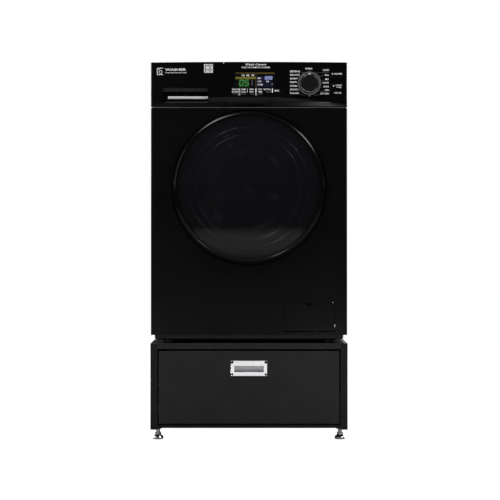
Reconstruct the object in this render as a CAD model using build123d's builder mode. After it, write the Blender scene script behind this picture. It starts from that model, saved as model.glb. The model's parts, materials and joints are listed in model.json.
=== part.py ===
from build123d import *
import os

# Front load washing machine on a drawer pedestal.
# Millimetres, +Z up, front towards -Y, origin on the floor under the middle of the whole object.

os.makedirs("parts", exist_ok=True)

# ---------------------------------------------------------------- driving dimensions
WASHER_W = 595.0        # cabinet width
PED_W = 597.0           # pedestal width
Z_PED = 292.0           # pedestal top, on which the machine's own feet stand
Z_BASE = 304.0          # underside of the base pan
Z_CAB = 317.0           # lower edge of the cabinet sheets
Z_FASCIA = 1006.4       # lower edge of the control fascia
Z_LID = 1112.0          # upper edge of the cabinet wrap
Z_TOP = 1142.0          # top of the machine
Y_FRONT = -245.0        # front panel face
Y_SEAM = -228.0         # where the front panel's side returns meet the cabinet wrap
Y_BACK = 283.0          # cabinet back face
Y_REAR_MAX = 296.0      # ends of the hose connections
SHEET = 1.2             # cabinet sheet
HW = WASHER_W / 2

PED_FRONT = -247.0
PED_BACK = 281.0
PED_SHEET = 1.5
PED_POST = 20.0         # width of the pedestal's front posts
PED_FOOT_X, PED_FOOT_YF, PED_FOOT_YR = 277.0, -222.0, 256.0
PED_STUD_R = 5.95
PED_BORE_R = 6.0

DRAWER_HALF = 273.5     # storage drawer front, half width
DRAWER_Z0, DRAWER_Z1 = 49.0, 269.0
BOX_HALF = 258.0        # storage drawer tray, half width
SLIDE_Z = 150.0

DOOR_Z = 763.0          # door, drum and tub axis
DOOR_R = 230.0
DISH_R = 236.0          # shallow round recess in the front panel around the door
DISH_Y = -237.0
HINGE_X, HINGE_Y = -222.0, -254.0
HINGE_PIN_R = 3.0

TUB_R, TUB_WALL = 262.0, 4.0
DRUM_R, DRUM_WALL = 240.0, 1.2
DRUM_Y0, DRUM_Y1 = -168.0, 137.2
MOUTH_R = 152.0         # drum mouth
PULLEY_R, MOTOR_PULLEY_R = 150.0, 10.0
MOTOR_X, MOTOR_Z = 60.0, 425.0
BELT_Y0, BELT_Y1 = 204.0, 218.0
SHAFT_R = 14.95

KNOB_X, KNOB_Z = 182.3, 1077.5
BUTTON_X, POWER_Z, START_Z = 265.0, 1104.0, 1069.0
HATCH_X0, HATCH_X1, HATCH_Z0, HATCH_Z1 = 109.0, 259.0, 328.0, 415.0
HATCH_AXIS_Y, HATCH_AXIS_Z = -240.0, 332.0
FILTER_X, FILTER_Z = 184.0, 368.0
SPRING_X, SPRING_Y = 228.0, 10.0
DAMPER_X = 150.0

AXIS = Axis((0, 0, DOOR_Z), (0, 1, 0))
RING = Plane.XY.offset(DOOR_Z)      # sketch (radius, y) here, then revolve about AXIS


def front_plane(y):
    """Sketch plane facing the front: local x is +X, local y is +Z, extrusion runs towards -Y."""
    return Plane(origin=(0, y, 0), x_dir=(1, 0, 0), z_dir=(0, -1, 0))


def block(x0, x1, y0, y1, z0, z1, mode=Mode.ADD):
    """Box between two corners, in the active part."""
    with Locations(((x0 + x1) / 2, (y0 + y1) / 2, (z0 + z1) / 2)):
        Box(x1 - x0, y1 - y0, z1 - z0, mode=mode)


def rod_y(x, z, y0, y1, r, mode=Mode.ADD):
    """Cylinder along Y, in the active part."""
    with Locations(Location((x, (y0 + y1) / 2, z), (90, 0, 0))):
        Cylinder(r, y1 - y0, mode=mode)


def rod_z(x, y, z0, z1, r, mode=Mode.ADD):
    """Cylinder along Z, in the active part."""
    with Locations((x, y, (z0 + z1) / 2)):
        Cylinder(r, z1 - z0, mode=mode)


def save(name, part, label):
    part.label = label
    export_step(part, f"parts/{label}.step")


# ================================================================ PEDESTAL
# Wrapped steel shell: two sides and a back in one piece, with turned front posts.
with BuildPart() as pedestal_shell:
    h = PED_W / 2
    block(-h, h, PED_FRONT, PED_BACK, 31, Z_PED - PED_SHEET)
    block(-h + PED_SHEET, h - PED_SHEET, PED_FRONT + PED_SHEET, PED_BACK - PED_SHEET, 31, Z_PED - PED_SHEET, Mode.SUBTRACT)
    block(-h + PED_POST, h - PED_POST, PED_FRONT, PED_FRONT + PED_SHEET, 31, Z_PED - PED_SHEET, Mode.SUBTRACT)
    for s in (-1, 1):
        x0, x1 = sorted((s * (h - PED_POST), s * (h - PED_POST - PED_SHEET)))
        block(x0, x1, PED_FRONT, PED_FRONT + 12, 31, Z_PED - PED_SHEET)
    # louvre slots low in the back
    with BuildSketch(front_plane(PED_BACK + 1)) as s1:
        with Locations((0, 90)):
            with GridLocations(0, 22, 1, 4):
                SlotOverall(180, 7)
    extrude(amount=4, mode=Mode.SUBTRACT)
    fillet(pedestal_shell.edges().filter_by(Axis.Z).filter_by(lambda e: abs(abs(e.center().X) - h) < 0.01 and e.center().Y < 0), 1.2)
save("pedestal_shell", pedestal_shell.part, "pedestal_shell")

# Top plate with a folded front rail and two stiffening channels under it.
with BuildPart() as pedestal_top:
    h = PED_W / 2
    block(-h, h, PED_FRONT, PED_BACK, Z_PED - PED_SHEET, Z_PED)
    fillet(pedestal_top.edges().filter_by(Axis.X).sort_by(Axis.Y)[:2].sort_by(Axis.Z)[-1:], 1.2)
    block(-h + PED_POST + 1.6, h - PED_POST - 1.6, PED_FRONT, PED_FRONT + PED_SHEET, 275, Z_PED - PED_SHEET)
    block(-h + PED_POST + 1.6, h - PED_POST - 1.6, PED_FRONT + PED_SHEET, PED_FRONT + 15, 275, 275 + PED_SHEET)
    for yc in (-195, 232):
        block(-h + 6, h - 6, yc - 20, yc + 20, Z_PED - 15, Z_PED - PED_SHEET)
        block(-h + 6, h - 6, yc - 18.5, yc + 18.5, Z_PED - 15, Z_PED - 3, Mode.SUBTRACT)
save("pedestal_top", pedestal_top.part, "pedestal_top")

# Base frame: rim plate, front and rear rails, a draught lip behind the drawer front, and a threaded boss at each corner.
with BuildPart() as pedestal_base_frame:
    h = PED_W / 2 - PED_SHEET - 0.1
    block(-h, h, PED_FRONT + 12.1, PED_BACK - PED_SHEET - 0.1, 36, 39)
    block(-266, 266, PED_FRONT + 44, PED_BACK - 36, 36, 39, Mode.SUBTRACT)
    block(-h + PED_POST, h - PED_POST, PED_FRONT + 1, PED_FRONT + 12.1, 36, 45)
    block(-262, 262, -231, -229, 36, 56)
    block(-h, h, PED_BACK - PED_SHEET - 3.1, PED_BACK - PED_SHEET - 0.1, 39, 52)
    for x in (-PED_FOOT_X, PED_FOOT_X):
        for y in (PED_FOOT_YF, PED_FOOT_YR):
            rod_z(x, y, 31, 48, 11)
    for x in (-PED_FOOT_X, PED_FOOT_X):
        for y in (PED_FOOT_YF, PED_FOOT_YR):
            rod_z(x, y, 30, 51, PED_BORE_R, Mode.SUBTRACT)
save("pedestal_base_frame", pedestal_base_frame.part, "pedestal_base_frame")

# Levelling feet: a domed base disc, hexagon collar and stud in one piece.
for tag, fx, fy in (("front_left", -PED_FOOT_X, PED_FOOT_YF), ("front_right", PED_FOOT_X, PED_FOOT_YF),
                    ("rear_left", -PED_FOOT_X, PED_FOOT_YR), ("rear_right", PED_FOOT_X, PED_FOOT_YR)):
    with BuildPart() as pedestal_foot:
        with BuildSketch(Plane.XZ) as prof:
            with BuildLine():
                Polyline((0, 0), (15.5, 0), (16, 2), (16, 6), (14, 9.5), (9, 12.5), (PED_STUD_R, 13), (PED_STUD_R, 49), (0, 49), close=True)
            make_face()
        revolve(axis=Axis.Z)
        with BuildSketch(Plane.XY.offset(13)):
            RegularPolygon(9.2, 6)
        extrude(amount=7)
        chamfer(pedestal_foot.edges().sort_by(Axis.Z)[-1:], 0.8)
    save("pedestal_foot", pedestal_foot.part.moved(Location((fx, fy, 0))), f"pedestal_foot_{tag}")

# Telescopic drawer slides: three nested channels on each side.
with BuildPart() as slide_outer_rails:
    for s in (-1, 1):
        for x0, x1, z0, z1 in ((269.4, 271.0, -22.5, 22.5), (260.5, 269.4, -22.5, -20.9), (260.5, 269.4, 20.9, 22.5)):
            a, b = sorted((s * x0, s * x1))
            block(a, b, -225, 235, SLIDE_Z + z0, SLIDE_Z + z1)
        for y in (-212, 205):
            a, b = sorted((s * 271.0, s * (PED_W / 2 - PED_SHEET)))
            block(a, b, y - 12, y + 12, SLIDE_Z - 17, SLIDE_Z + 17)
            block(a, b, y - 12, y + 12, SLIDE_Z - 14, SLIDE_Z + 14, Mode.SUBTRACT)
            a, b = sorted((s * (PED_W / 2 - PED_SHEET - 1.5), s * (PED_W / 2 - PED_SHEET)))
            block(a, b, y - 12, y + 12, SLIDE_Z - 14, SLIDE_Z + 14)
save("slide_outer_rails", slide_outer_rails.part, "slide_outer_rails")

with BuildPart() as slide_middle_rails:
    for s in (-1, 1):
        for x0, x1, z0, z1 in ((267.0, 268.4, -18, 18), (261.5, 267.0, -18, -16.6), (261.5, 267.0, 16.6, 18)):
            a, b = sorted((s * x0, s * x1))
            block(a, b, -225, 232, SLIDE_Z + z0, SLIDE_Z + z1)
save("slide_middle_rails", slide_middle_rails.part, "slide_middle_rails")

with BuildPart() as slide_inner_rails:
    for s in (-1, 1):
        for x0, x1, z0, z1 in ((258.0, 259.6, -14, 14), (259.6, 265.5, -14, -12.6), (259.6, 265.5, 12.6, 14)):
            a, b = sorted((s * x0, s * x1))
            block(a, b, -225, 230, SLIDE_Z + z0, SLIDE_Z + z1)
save("slide_inner_rails", slide_inner_rails.part, "slide_inner_rails")

# Storage drawer tray of folded sheet, open on top, with a rolled upper edge.
with BuildPart() as storage_drawer_tray:
    block(-BOX_HALF, BOX_HALF, -232, 235, 58, 240)
    block(-BOX_HALF + 1.2, BOX_HALF - 1.2, -230.8, 233.8, 59.2, 240, Mode.SUBTRACT)
    block(-BOX_HALF + 1.2, -BOX_HALF + 8, -230.8, 233.8, 238.8, 240)
    block(BOX_HALF - 8, BOX_HALF - 1.2, -230.8, 233.8, 238.8, 240)
    block(-BOX_HALF + 1.2, BOX_HALF - 1.2, 227, 233.8, 238.8, 240)
save("storage_drawer_tray", storage_drawer_tray.part, "storage_drawer_tray")

# Drawer front: a folded pan, open at the back, with a window for the flush pull.
PULL_Z = 217.0
with BuildPart() as storage_drawer_front:
    block(-DRAWER_HALF, DRAWER_HALF, PED_FRONT - 1, -232, DRAWER_Z0, DRAWER_Z1)
    fillet(storage_drawer_front.faces().sort_by(Axis.Y)[0].edges(), 1.5)
    block(-DRAWER_HALF + 2, DRAWER_HALF - 2, PED_FRONT + 1, -232, DRAWER_Z0 + 2, DRAWER_Z1 - 2, Mode.SUBTRACT)
    block(-58, 58, PED_FRONT + 1, -232, PULL_Z - 28, PULL_Z + 28)
    block(-BOX_HALF, BOX_HALF, PED_FRONT + 1, -232, DRAWER_Z0 + 4, DRAWER_Z0 + 14)
    for s in (-1, 1):
        a, b = sorted((s * 235, s * 258))
        block(a, b, PED_FRONT + 1, -232, DRAWER_Z0 + 14, 238)
    block(-48, 48, PED_FRONT - 2, -231, PULL_Z - 17, PULL_Z + 22, Mode.SUBTRACT)
save("storage_drawer_front", storage_drawer_front.part, "storage_drawer_front")

# Flush pull: face plate with a finger opening, and a cup behind it that is taller than the opening.
with BuildPart() as flush_pull:
    block(-55, 55, PED_FRONT - 3.2, PED_FRONT - 1, PULL_Z - 23.5, PULL_Z + 23.5)
    fillet(flush_pull.edges().filter_by(Axis.Y), 1.5)
    fillet(flush_pull.faces().sort_by(Axis.Y)[0].edges(), 0.9)
    block(-47.6, 47.6, PED_FRONT - 1, -233, PULL_Z - 16.6, PULL_Z + 21.6)
    block(-45.2, 45.2, PED_FRONT - 1, -234.5, PULL_Z - 15, PULL_Z + 20, Mode.SUBTRACT)
    block(-45.2, 45.2, PED_FRONT - 4, PED_FRONT - 1, PULL_Z - 11.5, PULL_Z + 7.5, Mode.SUBTRACT)
    for x in (-50.8, 50.8):
        for z in (-18.5, 18.5):
            rod_y(x, PULL_Z + z, PED_FRONT - 4.8, PED_FRONT - 3.0, 3.3)
            block(x - 2, x + 2, PED_FRONT - 5, PED_FRONT - 3.9, PULL_Z + z - 0.4, PULL_Z + z + 0.4, Mode.SUBTRACT)
            block(x - 0.4, x + 0.4, PED_FRONT - 5, PED_FRONT - 3.9, PULL_Z + z - 2, PULL_Z + z + 2, Mode.SUBTRACT)
save("flush_pull", flush_pull.part, "flush_pull")

# ================================================================ MACHINE: BASE AND CABINET
FEET = [(x, y) for x in (-245, 245) for y in (-205, 235)]
with BuildPart() as base_pan:
    block(-286, 286, -241, 275, Z_BASE, Z_CAB)
    chamfer(base_pan.edges().filter_by(Axis.Z), 6)
    chamfer(base_pan.faces().sort_by(Axis.Z)[0].edges(), 4)
    block(-281, 281, -236, 270, Z_BASE + 3, 333, Mode.SUBTRACT)
    for x, y in FEET:
        rod_z(x, y, Z_BASE + 0.5, 326, 17)
    for yy in (-90, 90):
        block(-283, 283, yy - 1.5, yy + 1.5, Z_BASE + 1.5, 316)
    for x in (-DAMPER_X, DAMPER_X):
        block(x - 22, x + 22, SPRING_Y - 16, SPRING_Y + 16, Z_BASE + 1.5, 330)
    for x, y in FEET:
        rod_z(x, y, Z_BASE - 1, 327, 5.2, Mode.SUBTRACT)
save("base_pan", base_pan.part, "base_pan")

with BuildPart() as washer_feet:
    for x, y in FEET:
        rod_z(x, y, Z_PED, Z_PED + 8, 22)
        rod_z(x, y, Z_PED + 8, 332, 5)
        with BuildSketch(Plane.XY.offset(Z_PED + 8)):
            with Locations((x, y)):
                RegularPolygon(9.5, 6)
        extrude(amount=3.9)
    fillet(washer_feet.edges().filter_by(GeomType.CIRCLE).filter_by(lambda e: abs(e.radius - 22) < 0.01).group_by(Axis.Z)[0], 2)
save("washer_feet", washer_feet.part, "washer_feet")

# Cabinet wrap: two sides and back, pressed ribs, welded spring hangers.
with BuildPart() as cabinet_wrap:
    block(-HW, HW, Y_SEAM + 0.2, Y_BACK, Z_CAB, Z_LID)
    fillet(cabinet_wrap.edges().filter_by(Axis.Z).filter_by(lambda e: e.center().Y > 0), 8)
    block(-HW + SHEET, HW - SHEET, Y_SEAM, Y_BACK - SHEET, Z_CAB, Z_LID, Mode.SUBTRACT)
    # pressed side panels: a shallow field on each side
    for s in (-1, 1):
        a, b = sorted((s * (HW - 2.4), s * (HW - SHEET)))
        block(a, b, -150, 205, 420, 1010)
        a, b = sorted((s * (HW - 1.2), s * HW))
        block(a, b, -149, 204, 421, 1009, Mode.SUBTRACT)
    # flanges that carry the worktop
    for s in (-1, 1):
        a, b = sorted((s * (HW - 16), s * (HW - SHEET)))
        block(a, b, Y_SEAM + 0.2, Y_BACK - SHEET, Z_LID - SHEET, Z_LID)
    block(-HW + 16, HW - 16, Y_BACK - 20, Y_BACK - SHEET, Z_LID - SHEET, Z_LID)
    # spring hangers
    for s in (-1, 1):
        a, b = sorted((s * 212, s * (HW - SHEET)))
        block(a, b, SPRING_Y - 2, SPRING_Y + 2, 1080, Z_LID - SHEET)
        rod_y(s * SPRING_X, 1091, SPRING_Y - 5, SPRING_Y + 5, 5, Mode.SUBTRACT)
    # service opening and holes for the connections at the back
    block(-195, 195, Y_BACK - 5, Y_BACK + 1, 490, 1005, Mode.SUBTRACT)
    for x in (-170, -115):
        rod_y(x, 1062, Y_BACK - 5, Y_BACK + 1, 17, Mode.SUBTRACT)
    rod_y(215, 1062, Y_BACK - 5, Y_BACK + 1, 8.0, Mode.SUBTRACT)
    rod_y(225, 400, Y_BACK - 5, Y_BACK + 1, 16, Mode.SUBTRACT)
save("cabinet_wrap", cabinet_wrap.part, "cabinet_wrap")

# Rear service cover: shallow pan with stiffening ribs and eight screws.
RC_SCREWS = [(x, z) for x in (-202, 202) for z in (495, 660, 835, 1000)]
with BuildPart() as rear_cover:
    block(-210, 210, Y_BACK, Y_BACK + 1.2, 475, 1020)
    with BuildSketch(front_plane(Y_BACK)) as rc:
        with Locations((0, 747.5)):
            RectangleRounded(370, 490, 30)
    extrude(amount=-7)
    with BuildSketch(front_plane(Y_BACK)):
        with Locations((0, 747.5)):
            RectangleRounded(367.6, 487.6, 28.8)
    extrude(amount=-5.8, mode=Mode.SUBTRACT)
    with BuildSketch(front_plane(Y_BACK + 7)):
        with Locations((0, DOOR_Z)):
            with GridLocations(0, 26, 1, 6):
                SlotOverall(170, 9)
    extrude(amount=2, mode=Mode.SUBTRACT)
    for x, z in RC_SCREWS:
        rod_y(x, z, Y_BACK + 1.2, Y_BACK + 3.6, 4.2)
        block(x - 3, x + 3, Y_BACK + 2.6, Y_BACK + 4, z - 0.5, z + 0.5, Mode.SUBTRACT)
save("rear_cover", rear_cover.part, "rear_cover")

# Front panel: folded sheet with rounded vertical edges, a round dish for the door, and the filter opening.
with BuildPart() as front_panel:
    block(-HW, HW, Y_FRONT, Y_SEAM, Z_CAB + 0.4, 1005)
    fillet(front_panel.edges().filter_by(Axis.Z).filter_by(lambda e: e.center().Y < -240), 7)
    block(-HW + SHEET, HW - SHEET, Y_FRONT + SHEET, Y_SEAM, Z_CAB + 0.4 + SHEET, 1005 - SHEET, Mode.SUBTRACT)
    # open the face inside the dish, then add the dish ring
    rod_y(0, DOOR_Z, Y_FRONT - 1, Y_FRONT + SHEET + 1, DISH_R, Mode.SUBTRACT)
    with BuildSketch(RING) as dish:
        with BuildLine():
            Polyline((DISH_R + 0.5, Y_FRONT), (DISH_R + 0.5, Y_FRONT + SHEET), (DISH_R - 2.2, DISH_Y + SHEET), (178, DISH_Y + SHEET), (178, DISH_Y + 8),
                     (176.8, DISH_Y + 8), (176.8, DISH_Y), (DISH_R - 3.2, DISH_Y), (DISH_R - 1.0, Y_FRONT), close=True)
        make_face()
    revolve(axis=AXIS)
    # filter opening and latch slot
    block(HATCH_X0 - 1, HATCH_X1 + 1, Y_FRONT - 1, Y_FRONT + 3, HATCH_Z0 - 1.5, HATCH_Z1 + 1, Mode.SUBTRACT)
    block(184, 200, DISH_Y - 1, DISH_Y + 3, DOOR_Z - 10, DOOR_Z + 10, Mode.SUBTRACT)
    for z0 in (-34.5, 21.5):
        block(-227.6, -216.4, DISH_Y - 1, DISH_Y + 3, DOOR_Z + z0, DOOR_Z + z0 + 13, Mode.SUBTRACT)
    # eyes for the filter flap's pins
    for x in (103, 261):
        block(x, x + 4, Y_FRONT + SHEET, -236, 324, 338)
        with Locations(Location((x + 2, HATCH_AXIS_Y, HATCH_AXIS_Z), (0, 90, 0))):
            Cylinder(2.05, 6, mode=Mode.SUBTRACT)
save("front_panel", front_panel.part, "front_panel")

# Worktop: a moulded frame with a skin, hollow below.
with BuildPart() as worktop:
    block(-HW, HW, Y_SEAM + 0.5, Y_BACK, Z_LID, Z_TOP)
    fillet(worktop.edges().filter_by(Axis.Z).filter_by(lambda e: e.center().Y > 0), 8)
    fillet(worktop.faces().sort_by(Axis.Z)[-1].edges().filter_by(lambda e: e.center().Y > -220), 4)
    block(-HW + 4, HW - 4, Y_SEAM + 4.5, Y_BACK - 4, Z_LID, Z_TOP - 4, Mode.SUBTRACT)
    for y in (-100, 30, 160):
        block(-HW + 4, HW - 4, y - 1.5, y + 1.5, Z_LID + 6, Z_TOP - 4)
save("worktop", worktop.part, "worktop")

# ================================================================ CONTROL PANEL
def fascia_outline(inset):
    """Bowed and rolled control panel block, in the active part, with its front faces moved back by inset."""
    d = inset
    with BuildSketch(Plane.XY.offset(1006.4 + d)) as bow:
        with BuildLine():
            ThreePointArc((-HW + d, -246 + d), (0, -256 + d), (HW - d, -246 + d))
            Polyline((HW - d, -246 + d), (HW - d, -228.5 + 3 * d), (-HW + d, -228.5 + 3 * d), (-HW + d, -246 + d))
        make_face()
    extrude(bow.sketch, amount=Z_TOP - 1006.4 - 2 * d)
    with BuildSketch(Plane.YZ) as roll:
        with BuildLine():
            Line((-260 + d, Z_TOP - d), (-260 + d, 1050))
            Spline((-260 + d, 1050), (-255.5 + d, 1036), (-248 + d, 1018), (-241 + d, 1006.4 + d), tangents=((0, -1), (0.45, -0.9)))
            Polyline((-241 + d, 1006.4 + d), (-200, 1006.4 + d), (-200, Z_TOP - d), (-260 + d, Z_TOP - d))
        make_face()
    extrude(roll.sketch, amount=HW + 5, both=True, mode=Mode.INTERSECT)


with BuildPart() as fascia_core:
    fascia_outline(3.0)
with BuildPart() as fascia_full:
    fascia_outline(0.0)
    fillet(fascia_full.edges().filter_by(Axis.Z).filter_by(lambda e: e.center().Y < -240), 6)

with BuildPart() as control_fascia:
    add(fascia_full.part)
    add(fascia_core.part, mode=Mode.SUBTRACT)
    # room for the detergent drawer, with a closing ledge and a partition
    block(-HW - 1, -76, -262, -225, 1040.6, Z_TOP + 1, Mode.SUBTRACT)
    block(-HW + 3, -76, -243, -229, 1037.6, 1040.6)
    block(-76, -73, -250, -229, 1009, Z_TOP - 1)
    # finger scoop below the drawer
    block(-262, -124, -262, -240, 1022.5, 1041, Mode.SUBTRACT)
    block(-264, -122, -240, -238, 1020.5, 1039)
    # fine vertical joint between the display and the dial field
    block(116.6, 117.4, -262, -250.4, 1041, Z_TOP + 1, Mode.SUBTRACT)
    # display opening, dial well, button openings
    block(-46.5, 78.5, -262, -245, 1063.5, 1111, Mode.SUBTRACT)
    rod_y(KNOB_X, KNOB_Z, -262, -240, 35, Mode.SUBTRACT)
    for z in (POWER_Z, START_Z):
        block(BUTTON_X - 17.5, BUTTON_X + 17.5, -262, -240, z - 7, z + 7, Mode.SUBTRACT)
save("control_fascia", control_fascia.part, "control_fascia")

with BuildPart() as display_window:
    block(-46.2, 78.2, -255.0, -251.6, 1063.8, 1110.7)
    fillet(display_window.edges().filter_by(Axis.Y), 1.2)
save("display_window", display_window.part, "display_window")

# Electronics housing behind the panel: a lidded tray with the circuit board's connectors along the top.
with BuildPart() as control_unit:
    block(-62, 236, -240, -212, 1028, 1106)
    fillet(control_unit.edges().filter_by(Axis.Y), 4)
    block(-59, 233, -241, -214, 1031, 1103, Mode.SUBTRACT)
    block(-59, 233, -238, -236.4, 1031, 1103)
    rod_y(KNOB_X, KNOB_Z, -242, -230, 6, Mode.SUBTRACT)
    for x in (-30, 20, 70):
        block(x, x + 30, -232, -216, 1104, 1111)
save("control_unit", control_unit.part, "control_unit")

with BuildPart() as fascia_trim:
    block(-HW + 0.2, HW - 0.2, -245.2, -229, 1005, 1006.4)
    fillet(fascia_trim.edges().filter_by(Axis.Z).filter_by(lambda e: e.center().Y < -240), 6)
save("fascia_trim", fascia_trim.part, "fascia_trim")

# Dial: fixed bright ring with a rear bearing disc, and the turning dial.
with BuildPart() as dial_ring:
    rod_y(KNOB_X, KNOB_Z, -256.5, -245.0, 35)
    rod_y(KNOB_X, KNOB_Z, -260, -247.0, 31.0, Mode.SUBTRACT)
    rod_y(KNOB_X, KNOB_Z, -250, -240, 5.0, Mode.SUBTRACT)
save("dial_ring", dial_ring.part, "dial_ring")

with BuildPart() as program_dial:
    rod_y(KNOB_X, KNOB_Z, -258, -248.5, 28.5)
    rod_y(KNOB_X, KNOB_Z, -262, -258, 26)
    rod_y(KNOB_X, KNOB_Z, -278, -262, 23.5)
    fillet(program_dial.faces().sort_by(Axis.Y)[0].edges(), 2)
    block(KNOB_X - 0.9, KNOB_X + 0.9, -279, -277.2, KNOB_Z + 8, KNOB_Z + 20, Mode.SUBTRACT)
    rod_y(KNOB_X, KNOB_Z, -248.5, -235, 4.95)
save("program_dial", program_dial.part, "program_dial")

for tag, z in (("power_button", POWER_Z), ("start_button", START_Z)):
    with BuildPart() as push_button:
        block(BUTTON_X - 17, BUTTON_X + 17, -250.4, -241, z - 6.5, z + 6.5)
        fillet(push_button.edges().filter_by(Axis.Y), 1.5)
        fillet(push_button.faces().sort_by(Axis.Y)[0].edges(), 0.8)
    save(tag, push_button.part, tag)

# Detergent drawer: front with the finger pocket, tray with three compartments, bright grip strip.
with BuildPart() as detergent_drawer_front:
    add(fascia_full.part)
    add(fascia_core.part, mode=Mode.SUBTRACT)
    block(-76.6, HW + 1, -262, -220, 1000, Z_TOP + 1, Mode.SUBTRACT)
    block(-HW - 1, -76, -262, -220, 1000, 1041.2, Mode.SUBTRACT)
    block(-79.6, -76.6, -252, -229, 1041.2, Z_TOP - 1)
    block(-264, -122, -246, -233.5, 1041.2, 1082)
    block(-262, -124, -262, -236, 1041, 1066, Mode.SUBTRACT)
    block(-262, -124, -244.5, -236, 1060, 1079, Mode.SUBTRACT)
    block(-HW + 3, -79.6, -233.5, -231.5, 1041.2, Z_TOP - 3)
save("detergent_drawer_front", detergent_drawer_front.part, "detergent_drawer_front")

with BuildPart() as pocket_trim:
    block(-245, -124, -246.5, -240, 1031.6, 1039.4)
    fillet(pocket_trim.faces().sort_by(Axis.Y)[0].edges().filter_by(Axis.X), 1.5)
save("pocket_trim", pocket_trim.part, "pocket_trim")

with BuildPart() as detergent_tray:
    block(-272, -93, -231.5, -20, 1041.4, 1096)
    for x0, x1, z0 in ((-270, -213, 1044), (-211, -160, 1056), (-158, -95, 1044)):
        block(x0, x1, -229.5, -22, z0, 1097, Mode.SUBTRACT)
    block(-208, -163, -200, -60, 1094, 1096)
save("detergent_tray", detergent_tray.part, "detergent_tray")

with BuildPart() as dispenser_housing:
    block(-278, -87, -226, -6, 1034, 1104)
    block(-276, -89, -227, -8, 1036, 1102, Mode.SUBTRACT)
    for x in (-265, -183, -100):
        block(x - 2, x + 2, -226, -8, 1036, 1041)
    for x in (-258, -107):
        block(x - 6, x + 6, -222, -204, 1104, Z_LID - SHEET)
    rod_z(-180, -60, 1030, 1037, 15, Mode.SUBTRACT)
save("dispenser_housing", dispenser_housing.part, "dispenser_housing")

# Outside connections at the back: two threaded inlets with their pipes, drain spigot, cord gland.
with BuildPart() as rear_fittings:
    for x in (-170, -115):
        rod_y(x, 1062, 240, Y_BACK, 17)
        rod_y(x, 1062, Y_BACK, Y_REAR_MAX, 13.2)
        rod_y(x, 1062, 286, Y_REAR_MAX + 1, 9.5, Mode.SUBTRACT)
        rod_y(x, 1062, -6, 240, 6)
    rod_y(225, 400, 270, Y_BACK, 16)
    rod_y(225, 400, Y_BACK, Y_REAR_MAX, 10.5)
    rod_y(225, 400, 276, Y_REAR_MAX + 1, 8, Mode.SUBTRACT)
    rod_y(215, 1062, 276, 281.7, 12)
    rod_y(215, 1062, 281.7, 290, 7.6)
    rod_y(215, 1062, 274, 292, 3.6, Mode.SUBTRACT)
save("rear_fittings", rear_fittings.part, "rear_fittings")

# ================================================================ DOOR SIDE OF THE CABINET
with BuildPart() as hinge_bracket:
    block(-231, -196, DISH_Y + SHEET, DISH_Y + SHEET + 3, DOOR_Z - 45, DOOR_Z + 45)
    for z in (-28, 28):
        block(HINGE_X - 5, HINGE_X + 5, HINGE_Y, DISH_Y + SHEET, DOOR_Z + z - 6, DOOR_Z + z + 6)
        rod_z(HINGE_X, HINGE_Y, DOOR_Z + z - 6, DOOR_Z + z + 6, 5)
    for z in (-28, 28):
        rod_z(HINGE_X, HINGE_Y, DOOR_Z + z - 8, DOOR_Z + z + 8, HINGE_PIN_R + 0.05, Mode.SUBTRACT)
save("hinge_bracket", hinge_bracket.part, "hinge_bracket")

with BuildPart() as door_lock:
    block(181, 216, DISH_Y + SHEET, -212, DOOR_Z - 32, DOOR_Z + 32)
    block(183, 204, DISH_Y, -215, DOOR_Z - 11, DOOR_Z + 11, Mode.SUBTRACT)
    block(198.4, 204, DISH_Y + SHEET, DISH_Y + SHEET + 3, DOOR_Z - 11, DOOR_Z + 11)
    block(190, 210, -225, -214, DOOR_Z - 42, DOOR_Z - 32)
save("door_lock", door_lock.part, "door_lock")

with BuildPart() as door_gasket:
    with BuildSketch(RING):
        with BuildLine():
            Polyline((176.7, -238.6), (176.7, -228), (180, -223), (180, -217), (170, -209), (167.9, -206.5), (167.9, -196),
                     (164.5, -196), (164.5, -208), (166.5, -211), (176.5, -218.5), (176.5, -222), (173.5, -226), (168, -226),
                     (156, -216), (154.5, -217.5), (168, -231), (170.5, -238.6), close=True)
        make_face()
    revolve(axis=AXIS)
save("door_gasket", door_gasket.part, "door_gasket")

with BuildPart() as drain_pump:
    rod_y(FILTER_X, FILTER_Z, -232, -150, 38)
    rod_y(FILTER_X, FILTER_Z, -150, -95, 30)
    rod_z(184, -185, 395, 425, 17)
    block(160, 208, -190, -120, 307, 334)
    rod_y(FILTER_X, FILTER_Z, -233, -160, 30, Mode.SUBTRACT)
    rod_z(184, -185, 380, 426, 14, Mode.SUBTRACT)
    rod_y(225, 400, -140, 270, 9)
    block(205, 228, -142, -132, 385, 404)
save("drain_pump", drain_pump.part, "drain_pump")

with BuildPart() as filter_cap:
    rod_y(FILTER_X, FILTER_Z, -236, -232.5, 33)
    rod_y(FILTER_X, FILTER_Z, -232.5, -200, 29.5)
    block(FILTER_X - 25, FILTER_X + 25, -240.5, -236, FILTER_Z - 4, FILTER_Z + 4)
    rod_y(FILTER_X, FILTER_Z, -228, -199, 25, Mode.SUBTRACT)
    for x in (-14, 0, 14):
        block(FILTER_X + x - 1.5, FILTER_X + x + 1.5, -228, -170, FILTER_Z - 14, FILTER_Z + 14)
save("filter_cap", filter_cap.part, "filter_cap")

with BuildPart() as filter_flap:
    block(HATCH_X0, HATCH_X1, Y_FRONT, Y_FRONT + 2, HATCH_Z0 + 1, HATCH_Z1)
    fillet(filter_flap.edges().filter_by(Axis.Y), 3)
    fillet(filter_flap.faces().sort_by(Axis.Y)[0].edges(), 0.7)
    with Locations(Location((-2 + FILTER_X, Y_FRONT + 1, HATCH_Z1 + 3), (90, 0, 0))):
        Cylinder(13, 6, mode=Mode.SUBTRACT)
    for x0, x1 in ((112, 116), (252, 256)):
        block(x0, x1, Y_FRONT + 2, -238, 330, 335)
    for xc in (109.2, 258.8):
        with Locations(Location((xc, HATCH_AXIS_Y, HATCH_AXIS_Z), (0, 90, 0))):
            Cylinder(2.0, 13)
save("filter_flap", filter_flap.part, "filter_flap")

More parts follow.
